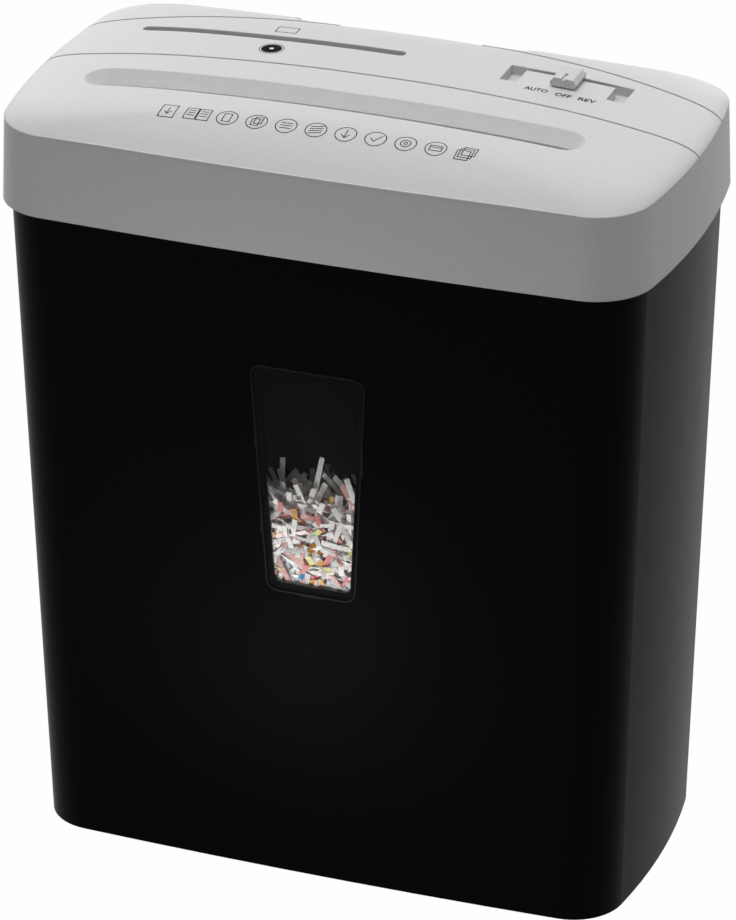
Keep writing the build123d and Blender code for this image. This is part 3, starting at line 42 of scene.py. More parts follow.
# Studio: a pale floor, an even sky and soft boxes above, beside and behind, with the
# camera where the photograph was taken. Floor and sky read as white to the camera, to
# gloss and through clear plastic, and the floor keeps the soft shadow of the bin.
FLOOR_SIZE = 14.0
FLOOR_WHITE_SHARE = 0.985
SKY_STRENGTH = 0.155
CAMERA_TARGET = Vector((-0.0659, 0.1769, 0.0845))
CAMERA_BACK = Vector((0.3087, -0.8337, 0.4579)).normalized()
CAMERA_DISTANCE = 2.7296
CAMERA_ROLL = math.radians(-0.24)
CAMERA_LENS = 213.5


def linear(code):
    """An sRGB hex colour as linear red, green, blue and alpha."""
    parts = [int(code[i:i + 2], 16) / 255 for i in (1, 3, 5)]
    return [p / 12.92 if p <= 0.04045 else ((p + 0.055) / 1.055) ** 2.4 for p in parts] + [1.0]


def put(tree, kind, values=None, links=None, **settings):
    """Add a node with its settings, its socket values and its links."""
    made = tree.nodes.new(kind)
    for name, value in settings.items():
        setattr(made, name, value)
    for name, value in (values or {}).items():
        made.inputs[name].default_value = value
    for name, (source, output) in (links or {}).items():
        tree.links.new(source.outputs[output], made.inputs[name])
    return made


def blank(name):
    """A new material with an empty tree."""
    made = bpy.data.materials.new(name)
    made.use_nodes = True
    made.node_tree.nodes.clear()
    return made, made.node_tree


def seen_ray(tree):
    """1 for rays of the camera, of gloss and through clear plastic, else 0."""
    path = put(tree, "ShaderNodeLightPath")
    gloss = put(tree, "ShaderNodeMath", links={0: (path, "Is Camera Ray"), 1: (path, "Is Glossy Ray")},
                operation="MAXIMUM")
    return put(tree, "ShaderNodeMath", links={0: (gloss, 0), 1: (path, "Is Transmission Ray")},
               operation="MAXIMUM")


bpy.ops.object.select_all(action="DESELECT")
bpy.ops.mesh.primitive_plane_add(size=FLOOR_SIZE)
floor = bpy.context.object
floor.name = "floor"
floor_paint, tree = blank("white_studio_floor")
matt = put(tree, "ShaderNodeBsdfDiffuse", {"Color": linear("#a8a8a8")})
glow = put(tree, "ShaderNodeEmission", {"Color": linear("#ffffff"), "Strength": 1.0})
share = put(tree, "ShaderNodeMath", {1: FLOOR_WHITE_SHARE}, {0: (seen_ray(tree), 0)},
            operation="MULTIPLY")
both = put(tree, "ShaderNodeMixShader", links={0: (share, 0), 1: (matt, 0), 2: (glow, 0)})
put(tree, "ShaderNodeOutputMaterial", links={"Surface": (both, 0)})
floor.data.materials.append(floor_paint)

sky = bpy.data.worlds.new("studio_sky")
scene.world = sky
sky.use_nodes = True
tree = sky.node_tree
tree.nodes.clear()
dim = put(tree, "ShaderNodeBackground", {"Color": linear("#ffffff"), "Strength": SKY_STRENGTH})
white = put(tree, "ShaderNodeBackground", {"Color": linear("#ffffff"), "Strength": 1.0})
both = put(tree, "ShaderNodeMixShader", links={0: (seen_ray(tree), 0), 1: (dim, 0), 2: (white, 0)})
put(tree, "ShaderNodeOutputWorld", links={"Surface": (both, 0)})

# Each lamp's name, place and aim, the side of its square and its power in watts. The
# small lamp that fills the window from below doesn't mirror in the pane.
for name, place, aim, size, power in (
        ("top_box", (0.0, 0.0, 2.1), (0.0, 0.0, 0.36), 1.6, 26.5),
        ("left_box", (-1.7, -0.3, 0.9), (0.0, 0.0, 0.3), 1.0, 3.0),
        ("left_rear_box", (-1.2, 1.2, 0.9), (0.0, 0.0, 0.36), 0.9, 5.8),
        ("rear_box", (0.2, 1.6, 0.8), (0.0, 0.0, 0.36), 0.8, 5.8),
        ("right_box", (1.9, -0.75, 1.0), (0.14, -0.07, 0.34), 0.35, 2.4),
        ("window_fill", (-0.01, -0.16, 0.1), (0.0, -0.077, 0.165), 0.06, 0.24)):
    lamp = bpy.data.lights.new(name, "AREA")
    lamp.shape = "SQUARE"
    lamp.size = size
    lamp.energy = power
    holder = bpy.data.objects.new(name, lamp)
    scene.collection.objects.link(holder)
    holder.location = place
    holder.rotation_euler = (Vector(aim) - Vector(place)).to_track_quat("-Z", "Y").to_euler()
    holder.visible_camera = False
    holder.visible_glossy = name != "window_fill"

eye = bpy.data.cameras.new("photo_camera")
eye.lens = CAMERA_LENS
eye.sensor_width = 36.0
eye.clip_end = 50.0
camera = bpy.data.objects.new("photo_camera", eye)
scene.collection.objects.link(camera)
right = Vector((0, 0, 1)).cross(CAMERA_BACK).normalized()
facing = Matrix((right, CAMERA_BACK.cross(right), CAMERA_BACK)).transposed()
camera.matrix_world = (Matrix.Translation(CAMERA_TARGET + CAMERA_BACK * CAMERA_DISTANCE)
                       @ facing.to_4x4() @ Matrix.Rotation(CAMERA_ROLL, 4, "Z"))
scene.camera = camera
scene.view_settings.view_transform = "Standard"

# Waste bin: a tapered black tub with bowed sides, injection moulded in ABS. Its
# satin skin stays near black from the front and picks up a soft grey sheen where
# the side is seen at a low angle.
BIN_GRAIN_MM = 0.5


def moulded(name, colour, roughness, specular, grain_mm, depth_mm, mottle=0.04, round_mm=0.0):
    """Moulded plastic: an even colour under a fine spark-eroded grain, edges just broken."""
    made, tree = blank(name)
    place = put(tree, "ShaderNodeTexCoord")
    grain = put(tree, "ShaderNodeTexNoise", {"Scale": 1000.0 / grain_mm, "Detail": 2.0, "Roughness": 0.6},
                {"Vector": (place, "Object")})
    tint = put(tree, "ShaderNodeMapRange", {"From Min": 0.3, "From Max": 0.7, "To Min": 1.0 - mottle,
                                            "To Max": 1.0 + mottle}, {"Value": (grain, 0)})
    base = put(tree, "ShaderNodeVectorMath", {0: linear(colour)[:3]}, {"Scale": (tint, 0)},
               operation="SCALE")
    dull = put(tree, "ShaderNodeMapRange", {"From Min": 0.3, "From Max": 0.7, "To Min": roughness - 0.03,
                                            "To Max": roughness + 0.03}, {"Value": (grain, 0)})
    bump = put(tree, "ShaderNodeBump", {"Strength": 0.6, "Distance": depth_mm / 1000},
               {"Height": (grain, 0)})
    if round_mm:
        edge = put(tree, "ShaderNodeBevel", {"Radius": round_mm / 1000}, samples=6)
        tree.links.new(edge.outputs[0], bump.inputs["Normal"])
    skin = put(tree, "ShaderNodeBsdfPrincipled", {"Specular IOR Level": specular, "IOR": 1.53},
               {"Base Color": (base, 0), "Roughness": (dull, 0), "Normal": (bump, 0)})
    put(tree, "ShaderNodeOutputMaterial", links={"Surface": (skin, 0)})
    return made


def dress(material, *names):
    """Give solids that came from the model their finish."""
    for name in names:
        mesh = nodes[name].data
        mesh.materials.clear()
        mesh.materials.append(material)


dress(moulded("black_satin_abs", "#040404", 0.34, 0.019, BIN_GRAIN_MM, 0.006, 0.1, 0.5), "waste_bin")

# Viewing window: a clear pane snapped into the front wall, with small clips round
# its rim. Clear styrene, so that the pane shows only as a faint dark film.
WINDOW_ALPHA = 0.1
HAZE_MM = 16.67
clear, tree = blank("clear_styrene")
place = put(tree, "ShaderNodeTexCoord")
haze = put(tree, "ShaderNodeTexNoise", {"Scale": 1000.0 / HAZE_MM, "Detail": 2.0},
           {"Vector": (place, "Object")})
film = put(tree, "ShaderNodeMapRange", {"From Min": 0.3, "From Max": 0.7, "To Min": WINDOW_ALPHA * 0.8,
                                        "To Max": WINDOW_ALPHA * 1.2}, {"Value": (haze, 0)})
skin = put(tree, "ShaderNodeBsdfPrincipled", {"Base Color": linear("#1b1d1e"), "Roughness": 0.12,
                                              "IOR": 1.59, "Specular IOR Level": 0.25},
           {"Alpha": (film, 0)})
put(tree, "ShaderNodeOutputMaterial", links={"Surface": (skin, 0)})
dress(clear, "viewing_window")

# Window frame: a fine raised line round the pane and the small snap clips that show
# along its edges. Smoked styrene, a shade lighter than the black wall round it.
FRAME_TOP_HALF = 0.0275
FRAME_BOTTOM_HALF = 0.0214
FRAME_HALF_HEIGHT = 0.0569
FRAME_CORNER = 0.0052
FRAME_LINE = 0.0007
FRAME_PROUD = 0.00025
WINDOW_MIDDLE = (0.0, -0.07696, 0.206)
BIN_HEIGHT = 0.330
BIN_FRONT_DRAFT = 0.0053
CLIP_DEPTH = 0.0006
CLIP_ROUND = 0.00015
# Each clip's left, right, lower and upper edge, from the middle of the pane.
CLIPS = ((-0.0260, -0.0246, 0.0158, 0.0258), (-0.0238, -0.0228, -0.0283, -0.0161),
         (0.0247, 0.0258, 0.0088, 0.0262), (-0.0236, -0.0168, 0.0561, 0.0573),
         (-0.0145, -0.0078, 0.0561, 0.0573), (-0.0050, 0.0083, 0.0563, 0.0571),
         (0.0102, 0.0201, 0.0561, 0.0573), (-0.0059, 0.0057, -0.0575, -0.0566))
frame_tone = moulded("smoked_styrene", "#131313", 0.35, 0.05, 0.6, 0.003)
bpy.ops.object.select_all(action="DESELECT")
bpy.ops.mesh.primitive_plane_add(size=1.0)
window_frame = bpy.context.object
window_frame.name = "window_frame"
for vertex in window_frame.data.vertices:
    half = FRAME_TOP_HALF if vertex.co.y > 0 else FRAME_BOTTOM_HALF
    vertex.co = (math.copysign(half, vertex.co.x), math.copysign(FRAME_HALF_HEIGHT, vertex.co.y), 0.0)
bpy.ops.object.mode_set(mode="EDIT")
bpy.ops.mesh.select_all(action="SELECT")
bpy.ops.mesh.bevel(offset=FRAME_CORNER, segments=6, affect="VERTICES")
bpy.ops.mesh.inset(thickness=FRAME_LINE)
bpy.ops.mesh.delete(type="FACE")
bpy.ops.mesh.select_all(action="SELECT")
bpy.ops.mesh.extrude_region_move(TRANSFORM_OT_translate={"value": (0.0, 0.0, FRAME_PROUD)})
bpy.ops.object.mode_set(mode="OBJECT")
parts = [window_frame]
for left, right, low, high in CLIPS:
    bpy.ops.object.select_all(action="DESELECT")
    bpy.ops.mesh.primitive_cube_add(size=1.0, location=((left + right) / 2, (low + high) / 2, 0.0))
    clip = bpy.context.object
    clip.scale = (right - left, high - low, CLIP_DEPTH)
    bpy.ops.object.transform_apply()
    bpy.ops.object.mode_set(mode="EDIT")
    bpy.ops.mesh.select_all(action="SELECT")
    bpy.ops.mesh.bevel(offset=CLIP_ROUND, segments=2)
    bpy.ops.object.mode_set(mode="OBJECT")
    parts.append(clip)
bpy.ops.object.select_all(action="DESELECT")
for part in parts:
    part.select_set(True)
bpy.context.view_layer.objects.active = window_frame
bpy.ops.object.join()
lean = math.atan2(BIN_FRONT_DRAFT, BIN_HEIGHT)
window_frame.data.transform(Matrix.Translation(WINDOW_MIDDLE)
                            @ Matrix.Rotation(math.radians(90) + lean, 4, "X"))
bpy.ops.object.mode_set(mode="EDIT")
bpy.ops.mesh.select_all(action="SELECT")
bpy.ops.mesh.normals_make_consistent(inside=False)
bpy.ops.object.mode_set(mode="OBJECT")
window_frame.data.materials.append(frame_tone)
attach(window_frame, "bin")

# Cut paper: a loose heap of cross-cut strips, 2.5 mm wide and about 20 mm long, piled
# against the window. Office paper, mostly white and grey with print, some of it
# pink, yellow or orange; every strip is a placed copy of a few bent ones.
STRIP_WIDTH = 0.0025
# Each kind's length, and its bend and twist in degrees.
STRIP_KINDS = ((0.023, 25, 10), (0.020, -35, 0), (0.018, 60, 25), (0.027, -15, -20), (0.015, 20, 0),
               (0.022, 90, 40))
WINDOW_STRIPS = 1500
WINDOW_STRIP_HALF = 0.036
WINDOW_STRIP_BAND = (0.140, 0.191)
WINDOW_STRIP_DEPTH = 0.024
PANE_DISTANCE = 0.0012
STEP_BACK_FROM = 0.178
STEP_BACK_SHARE = 0.3
SPIKES = 14
SPIKE_HALF = 0.03
SPIKE_BAND = (0.190, 0.201)
SPIKE_DEPTH = (0.003, 0.016)
TOP_STRIPS = 2300
HEAP_HALF = 0.126
HEAP_FRONT_TO_BACK = (-0.050, 0.056)
HEAP_LOOSE = 0.0025
HEAP_FRONT = 0.186
HEAP_FRONT_Y = -0.0735
HEAP_FALL = 0.55
HEAP_LEVEL_HALF = 0.05
HEAP_SIDE_FALL = 0.25
HEAP_RIPPLE = 0.003
FRONT_RIM_Y = -0.0788
FRONT_WALL = 0.0031
PANE_GAP = 0.0003
GLYPH = 0.0008
GLYPH_ROW = 0.0005
# Each paper's colour and its share of the strips.
PAPER_COLOURS = (("#f4f3f0", 36), ("#e4e2e0", 26), ("#cfced0", 14), ("#ecbcb6", 8), ("#d98f8c", 5),
                 ("#e6e39a", 5), ("#dcae66", 3), ("#b4782f", 2), ("#d4e3ec", 2), ("#4f9dc4", 0.5))
dice = random.Random(11)

# Uncoated paper: quite matt, a little light passes through it, and its print shows as
# rows of dark specks on some of the strips.
paper, tree = blank("cut_office_paper")
tint = put(tree, "ShaderNodeAttribute", attribute_name="paper")
place = put(tree, "ShaderNodeUVMap")
usual_length = sum(length for length, bend, twist in STRIP_KINDS) / len(STRIP_KINDS)
glyph_counts = (round(usual_length / GLYPH), STRIP_WIDTH / GLYPH_ROW, 1.0)
rows = put(tree, "ShaderNodeMapping", {"Scale": glyph_counts}, {"Vector": (place, 0)})
glyphs = put(tree, "ShaderNodeTexNoise", {"Scale": 1.0, "Detail": 1.0}, {"Vector": (rows, 0)})
ink = put(tree, "ShaderNodeMapRange", {"From Min": 0.52, "From Max": 0.58, "To Min": 0.0, "To Max": 0.75},
          {"Value": (glyphs, 0)})
printed = put(tree, "ShaderNodeMath", links={0: (ink, 0), 1: (tint, "Alpha")}, operation="MULTIPLY")
mix = put(tree, "ShaderNodeMixRGB", {"Color2": linear("#3a3a40")},
          {0: (printed, 0), "Color1": (tint, "Color")})
skin = put(tree, "ShaderNodeBsdfPrincipled", {"Roughness": 0.85, "Specular IOR Level": 0.1},
           {"Base Color": (mix, 0)})
back = put(tree, "ShaderNodeBsdfTranslucent", links={"Color": (mix, 0)})
both = put(tree, "ShaderNodeMixShader", {0: 0.2}, {1: (skin, 0), 2: (back, 0)})
put(tree, "ShaderNodeOutputMaterial", links={"Surface": (both, 0)})

kinds = []
for length, bend, twist in STRIP_KINDS:
    bpy.ops.object.select_all(action="DESELECT")
    bpy.ops.mesh.primitive_grid_add(x_subdivisions=5, y_subdivisions=1, size=1.0)
    strip = bpy.context.object
    strip.scale = (length, STRIP_WIDTH, 1.0)
    bpy.ops.object.transform_apply(location=False, rotation=False, scale=True)
    for method, angle, axis in (("BEND", bend, "Y"), ("TWIST", twist, "X")):
        if angle:
            deform = strip.modifiers.new(method.lower(), "SIMPLE_DEFORM")
            deform.deform_method = method
            deform.deform_axis = axis
            deform.angle = math.radians(angle)
            bpy.ops.object.modifier_apply(modifier=deform.name)
    kinds.append(strip)


def heap_top(x, y):
    """Height of the heap: piled against the window, falling to the back, uneven."""
    fall = HEAP_FALL * (y - HEAP_FRONT_Y) + HEAP_SIDE_FALL * max(0.0, abs(x) - HEAP_LEVEL_HALF)
    return HEAP_FRONT - fall + HEAP_RIPPLE * math.sin(45 * x + 1) * math.cos(60 * y)


def wall_y(z):
    """Inner face of the front wall, or of the pane, at one height."""
    return FRONT_RIM_Y + BIN_FRONT_DRAFT * (BIN_HEIGHT - z) / BIN_HEIGHT + FRONT_WALL


def lay(place, turn):
    """Put down one strip: a copy with its own mesh, its paper colour and its share of print."""
    kind = dice.choice(kinds)
    mesh = kind.data.copy()
    mesh.transform(Matrix.Translation(place) @ turn)
    colour = linear(dice.choices([c for c, n in PAPER_COLOURS], [n for c, n in PAPER_COLOURS])[0])
    colour[3] = dice.choice((0.0, 0.0, 0.0, 0.5, 0.9))
    marks = mesh.attributes.new("paper", "FLOAT_COLOR", "POINT")
    marks.data.foreach_set("color", colour * len(mesh.vertices))
    for vertex in mesh.vertices:
        vertex.co.y = max(vertex.co.y, wall_y(vertex.co.z) + PANE_GAP)
    made = bpy.data.objects.new("strip", mesh)
    scene.collection.objects.link(made)
    return made


# Strips that lie flat against the pane, a little further back near the top.
laid = []
for index in range(WINDOW_STRIPS):
    z = dice.uniform(*WINDOW_STRIP_BAND)
    step_back = max(0.0, z - STEP_BACK_FROM) * STEP_BACK_SHARE
    depth = dice.random() ** 1.5 * WINDOW_STRIP_DEPTH
    x = dice.uniform(-WINDOW_STRIP_HALF, WINDOW_STRIP_HALF)
    turn = (Matrix.Rotation(math.radians(90 + dice.gauss(0, 24)), 4, "X")
            @ Matrix.Rotation(math.radians(dice.gauss(0, 16)), 4, "Y")
            @ Matrix.Rotation(dice.uniform(0, math.tau), 4, "Z"))
    laid.append(lay((x, wall_y(z) + PANE_DISTANCE + step_back + depth, z), turn))

# A few that stand up out of the heap behind the pane.
for index in range(SPIKES):
    z = dice.uniform(*SPIKE_BAND)
    turn = (Matrix.Rotation(math.radians(90 + dice.gauss(0, 20)), 4, "X")
            @ Matrix.Rotation(math.radians(dice.uniform(20, 160)), 4, "Z"))
    x = dice.uniform(-SPIKE_HALF, SPIKE_HALF)
    laid.append(lay((x, wall_y(z) + dice.uniform(*SPIKE_DEPTH), z), turn))

# Loose ones all over the top of the heap.
for index in range(TOP_STRIPS):
    x = dice.uniform(-HEAP_HALF, HEAP_HALF)
    y = dice.uniform(*HEAP_FRONT_TO_BACK)
    turn = (Matrix.Rotation(math.radians(dice.gauss(0, 22)), 4, "X")
            @ Matrix.Rotation(math.radians(dice.gauss(0, 22)), 4, "Y")
            @ Matrix.Rotation(dice.uniform(0, math.tau), 4, "Z"))
    laid.append(lay((x, y, heap_top(x, y) + dice.gauss(0, HEAP_LOOSE)), turn))

bpy.ops.object.select_all(action="DESELECT")
for strip in kinds:
    strip.select_set(True)
bpy.ops.object.delete()
for strip in laid:
    strip.select_set(True)
bpy.context.view_layer.objects.active = laid[0]
bpy.ops.object.join()
strips = bpy.context.object
strips.name = "paper_strips"
strips.data.materials.clear()
strips.data.materials.append(paper)
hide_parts("paper_shreds")
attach(strips, "bin")

# Paper core: the imported paper under the loose strips, one lumpy block of the same paper material
# that stands on the bin's floor and keeps light from shining through the heap; its grey is painted shade.
CORE_SIZE = (0.268, 0.112)
CORE_Y = 0.008
CORE_FLOOR = 0.006
CORE_HEIGHT = 0.16
CORE_SUNK = 0.004
CORE_LUMPS = 0.0015
bpy.ops.object.select_all(action="DESELECT")
bpy.ops.mesh.primitive_grid_add(x_subdivisions=36, y_subdivisions=18, size=1.0)
core = bpy.context.object
core.name = "paper_core"
core.scale = (*CORE_SIZE, 1.0)
core.location = (0.0, CORE_Y, 0.0)
bpy.ops.object.transform_apply()
bpy.ops.object.mode_set(mode="EDIT")
bpy.ops.mesh.select_all(action="SELECT")
bpy.ops.mesh.extrude_region_move(TRANSFORM_OT_translate={"value": (0.0, 0.0, CORE_HEIGHT)})
bpy.ops.object.mode_set(mode="OBJECT")
for vertex in core.data.vertices:
    if vertex.co.z > CORE_HEIGHT / 2:
        vertex.co.z = heap_top(vertex.co.x, vertex.co.y) - CORE_SUNK + dice.gauss(0, CORE_LUMPS)
    else:
        vertex.co.z = CORE_FLOOR
marks = core.data.attributes.new("paper", "FLOAT_COLOR", "POINT")
# Painted shade: the core gets a mid grey, darker than any strip, for the shade deep between the strips.
marks.data.foreach_set("color", (linear("#8f8c89")[:3] + [0.9]) * len(core.data.vertices))
core.data.materials.append(paper)
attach(core, "bin")

# Base pan and cord gland: black moulded parts that close the head from below and
# seat it on the bin's rim. A dull, coarser grain than the bin's.
dress(moulded("black_matt_abs", "#0c0c0d", 0.6, 0.2, 0.8, 0.02, 0.1, 0.4), "head_base", "paper_chute",
      "cord_gland")

# Frame: two side plates and the disc plate, held apart by four tie rods with nuts.
# Zinc-plated steel, with fine rolling lines and a soft, bluish white shine.
STEEL_LINE_MM = 0.35
WEAR_MM = 5.56


def machined(name, colour, roughness, stretch, line_mm, depth_mm):
    """Worked metal: fine lines along one axis, in tint, gloss and height."""
    made, tree = blank(name)
    place = put(tree, "ShaderNodeTexCoord")
    along = put(tree, "ShaderNodeMapping", {"Scale": [1000.0 / line_mm * s for s in stretch]},
                {"Vector": (place, "Object")})
    lines = put(tree, "ShaderNodeTexNoise", {"Scale": 1.0, "Detail": 3.0}, {"Vector": (along, 0)})
    wear = put(tree, "ShaderNodeTexNoise", {"Scale": 1000.0 / WEAR_MM, "Detail": 4.0},
               {"Vector": (place, "Object")})
    tint = put(tree, "ShaderNodeMapRange", {"From Min": 0.3, "From Max": 0.7, "To Min": 0.85,
                                            "To Max": 1.1}, {"Value": (lines, 0)})
    base = put(tree, "ShaderNodeVectorMath", {0: linear(colour)[:3]}, {"Scale": (tint, 0)},
               operation="SCALE")
    dull = put(tree, "ShaderNodeMapRange", {"From Min": 0.3, "From Max": 0.7, "To Min": roughness - 0.08,
                                            "To Max": roughness + 0.1}, {"Value": (wear, 0)})
    bump = put(tree, "ShaderNodeBump", {"Strength": 0.4, "Distance": depth_mm / 1000},
               {"Height": (lines, 0)})
    skin = put(tree, "ShaderNodeBsdfPrincipled", {"Metallic": 1.0},
               {"Base Color": (base, 0), "Roughness": (dull, 0), "Normal": (bump, 0)})
    put(tree, "ShaderNodeOutputMaterial", links={"Surface": (skin, 0)})
    return made


dress(machined("zinc_plated_steel", "#c3c6ca", 0.38, (1.0, 0.05, 1.0), STEEL_LINE_MM, 0.01), "left_plate",
      "right_plate", "disc_plate", "tie_rods", "tie_nuts", "cover_screws", "motor_screws", "motor_can")

# Bushings: the plain bearings of the cutter shafts, rings pressed into the plates.
# Sintered bronze, dull and slightly porous.
dress(machined("sintered_bronze", "#b48a55", 0.5, (1.0, 1.0, 1.0), 0.25, 0.01), "main_bushings",
      "disc_bushings")

# Cutters, steel gears and axles: hardened steel with turning lines round the shafts,
# dark under a film of oil.
dress(machined("oiled_hard_steel", "#77787c", 0.3, (1.0, 0.08, 0.08), 0.2, 0.008), "front_cutter",
      "rear_cutter", "front_sync_gear", "rear_sync_gear", "disc_front_cutter", "disc_rear_cutter",
      "disc_front_gear", "disc_rear_gear", "motor_rotor", "motor_pinion", "gear_axles", "axle_clips")

# Combs, gear cover, fan and sensor lever: black glass-filled nylon, matt and faintly
# speckled by the glass fibres.
dress(moulded("filled_black_nylon", "#1b1b1c", 0.62, 0.3, 0.6, 0.02, 0.18), "front_comb", "rear_comb",
      "gear_cover", "motor_end_cap", "cooling_fan", "sensor_lever")

# Gears and plunger: moulded in natural nylon, the gears pushed onto their shafts and
# pins, the plunger free in its guide. Cream and waxy, with a soft shine.
dress(moulded("natural_nylon", "#ded8c6", 0.42, 0.4, 1.2, 0.004, 0.03), "first_gear", "second_gear",
      "final_gear", "transfer_gear", "transfer_driven_gear", "safety_plunger")

# Motor magnets: two curved segments glued into the can. Ferrite, fired and ground,
# so a dark, dull grey.
dress(machined("dark_ferrite", "#3a3b3d", 0.65, (1.0, 1.0, 1.0), 0.5, 0.015), "motor_magnets")

# Control board: green fibreglass with paler tracks under the lacquer, and black
# moulded parts on it. The three switches are the same black housing plastic.
TRACK_MM = 2.4
board, tree = blank("green_circuit_board")
place = put(tree, "ShaderNodeTexCoord")
weave = put(tree, "ShaderNodeTexBrick", {"Color1": linear("#0d5a2c"), "Color2": linear("#0a4a25"),
                                         "Mortar": linear("#2f8a4e"), "Scale": 1000.0 / TRACK_MM,
                                         "Mortar Size": 0.06}, {"Vector": (place, "Object")})
skin = put(tree, "ShaderNodeBsdfPrincipled", {"Roughness": 0.35}, {"Base Color": (weave, 0)})
put(tree, "ShaderNodeOutputMaterial", links={"Surface": (skin, 0)})
dress(board, "control_board")
dress(moulded("black_switch_plastic", "#161617", 0.5, 0.35, 0.5, 0.01, 0.08), "board_parts", "mode_switch",
      "paper_switch", "safety_switch")

# Head cover: one light-grey ABS moulding, a drafted band under a low domed top with
# the paper funnel, disc slot, switch pockets and two shallow lines. Its fine spark
# texture gives a soft speckle, and the broken edge draws a thin light line.
dress(moulded("grey_textured_abs", "#cecece", 0.5, 0.2, 0.8, 0.03, 0.05, 0.9), "head_cover")

# Cover rim: along the front the dome ends on a narrow flat rim above the band, which
# draws one thin light line. Part of the same moulding, so of the same plastic.
RIM_HEIGHT = 0.359
RIM_WIDTH = 0.0010
RIM_PROUD = 0.00015
RIM_HALF = 0.126
RIM_TAPER = 0.015
RIM_LIP = 0.0004
RIM_ROOT = 0.0007
RIM_BITE = 0.0002
RIM_LIFT = 0.00003
RIM_NEAR = 2e-5
FRONT_SIDE_Y = -0.07
DOWN = Vector((0.0, 0.0, -1.0))
ABOVE = 0.6
cover = nodes["head_cover"]
cover_tree = BVHTree.FromPolygons([cover.matrix_world @ v.co for v in cover.data.vertices],
                                  [list(p.vertices) for p in cover.data.polygons])
edge = sorted({(round(v.co.x, 5), round(v.co.y, 5)) for v in cover.data.vertices
               if abs(v.co.z - RIM_HEIGHT) < RIM_NEAR and v.co.y < FRONT_SIDE_Y and abs(v.co.x) < RIM_HALF})
edge = [Vector((x, y, RIM_HEIGHT)) for x, y in edge]
points = []
for index, point in enumerate(edge):
    run = edge[min(index + 1, len(edge) - 1)] - edge[max(index - 1, 0)]
    out = Vector((run.y, -run.x, 0.0)).normalized()
    share = min(1.0, (RIM_HALF - abs(point.x)) / RIM_TAPER)
    inner = point - out * max(RIM_BITE, RIM_WIDTH * share)
    inner.z = cover_tree.ray_cast(Vector((inner.x, inner.y, ABOVE)), DOWN)[0].z + RIM_LIFT
    proud = point + out * RIM_PROUD * share
    points += [inner, Vector((proud.x, proud.y, inner.z)), proud + DOWN * RIM_LIP,
               point - out * RIM_BITE + DOWN * RIM_ROOT]
rim_mesh = bpy.data.meshes.new("cover_rim")
rim_mesh.from_pydata(points, [], [(k + row, k + row + 4, k + row + 5, k + row + 1)
                                  for k in range(0, len(points) - 4, 4) for row in range(3)])
rim = bpy.data.objects.new("cover_rim", rim_mesh)
scene.collection.objects.link(rim)
if sum(p.normal.z * p.area for p in rim_mesh.polygons) < 0:
    rim_mesh.flip_normals()
rim_mesh.materials.append(cover.data.materials[0])
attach(rim, "head")

# Printed marks: thin dark ink on the cover's top. The switch positions, a disc and a
# card beside the second slot, and a row of plain line marks in front of the mouth.
INK_LIFT = 0.00006
INK_SPECK_MM = 0.4
MARK_LINE = 0.00042
MARK_COUNT = 11
MARK_ROW_Y = -0.0575
MARK_PITCH = 0.0139
MARK_FIRST_X = -0.0722
MARK_RADIUS = 0.0050
BARE_MARKS = (0, 1, 10)
WORD_WEIGHT = 0.018
# Pad print: matt, nearly black, and slightly uneven where the ink is thin.
ink, tree = blank("dark_pad_print_ink")
place = put(tree, "ShaderNodeTexCoord")
wear = put(tree, "ShaderNodeTexNoise", {"Scale": 1000.0 / INK_SPECK_MM, "Detail": 2.0},
           {"Vector": (place, "Object")})
tone = put(tree, "ShaderNodeMapRange", {"To Min": 0.6, "To Max": 1.5}, {"Value": (wear, 0)})
base = put(tree, "ShaderNodeVectorMath", {0: linear("#161617")[:3]}, {"Scale": (tone, 0)},
           operation="SCALE")
skin = put(tree, "ShaderNodeBsdfPrincipled", {"Roughness": 0.7, "Specular IOR Level": 0.02},
           {"Base Color": (base, 0)})
put(tree, "ShaderNodeOutputMaterial", links={"Surface": (skin, 0)})

drawn = []


def ring(x, y, radius, line=MARK_LINE):
    """Flat ring of ink: an open circle pushed out by one line's width."""
    bpy.ops.object.select_all(action="DESELECT")
    bpy.ops.mesh.primitive_circle_add(vertices=40, radius=radius - line)
    bpy.ops.object.mode_set(mode="EDIT")
    bpy.ops.mesh.select_all(action="SELECT")
    grow = radius / (radius - line)
    bpy.ops.mesh.extrude_region_move()
    bpy.ops.transform.resize(value=(grow, grow, 1.0))
    bpy.ops.object.mode_set(mode="OBJECT")
    bpy.context.object.location = (x, y, 0.0)
    drawn.append(bpy.context.object)


def spot(x, y, radius):
    """Filled round of ink."""
    bpy.ops.object.select_all(action="DESELECT")
    bpy.ops.mesh.primitive_circle_add(vertices=40, radius=radius, fill_type="NGON", location=(x, y, 0.0))
    drawn.append(bpy.context.object)


def stroke(*points, line=MARK_LINE, closed=False):
    """Line of ink through points: one flat bar for each run."""
    ends = list(points) + ([points[0]] if closed else [])
    for (x0, y0), (x1, y1) in zip(ends, ends[1:]):
        bpy.ops.object.select_all(action="DESELECT")
        bpy.ops.mesh.primitive_grid_add(x_subdivisions=6, y_subdivisions=1, size=1.0,
                                        location=((x0 + x1) / 2, (y0 + y1) / 2, 0.0),
                                        rotation=(0.0, 0.0, math.atan2(y1 - y0, x1 - x0)))
        bpy.context.object.scale = (math.hypot(x1 - x0, y1 - y0) + line, line, 1.0)
        drawn.append(bpy.context.object)


def frame_of(x, y, wide, deep):
    """Outline of a sheet or a card, by its half width and half depth."""
    stroke((x - wide, y - deep), (x + wide, y - deep), (x + wide, y + deep), (x - wide, y + deep),
           closed=True)


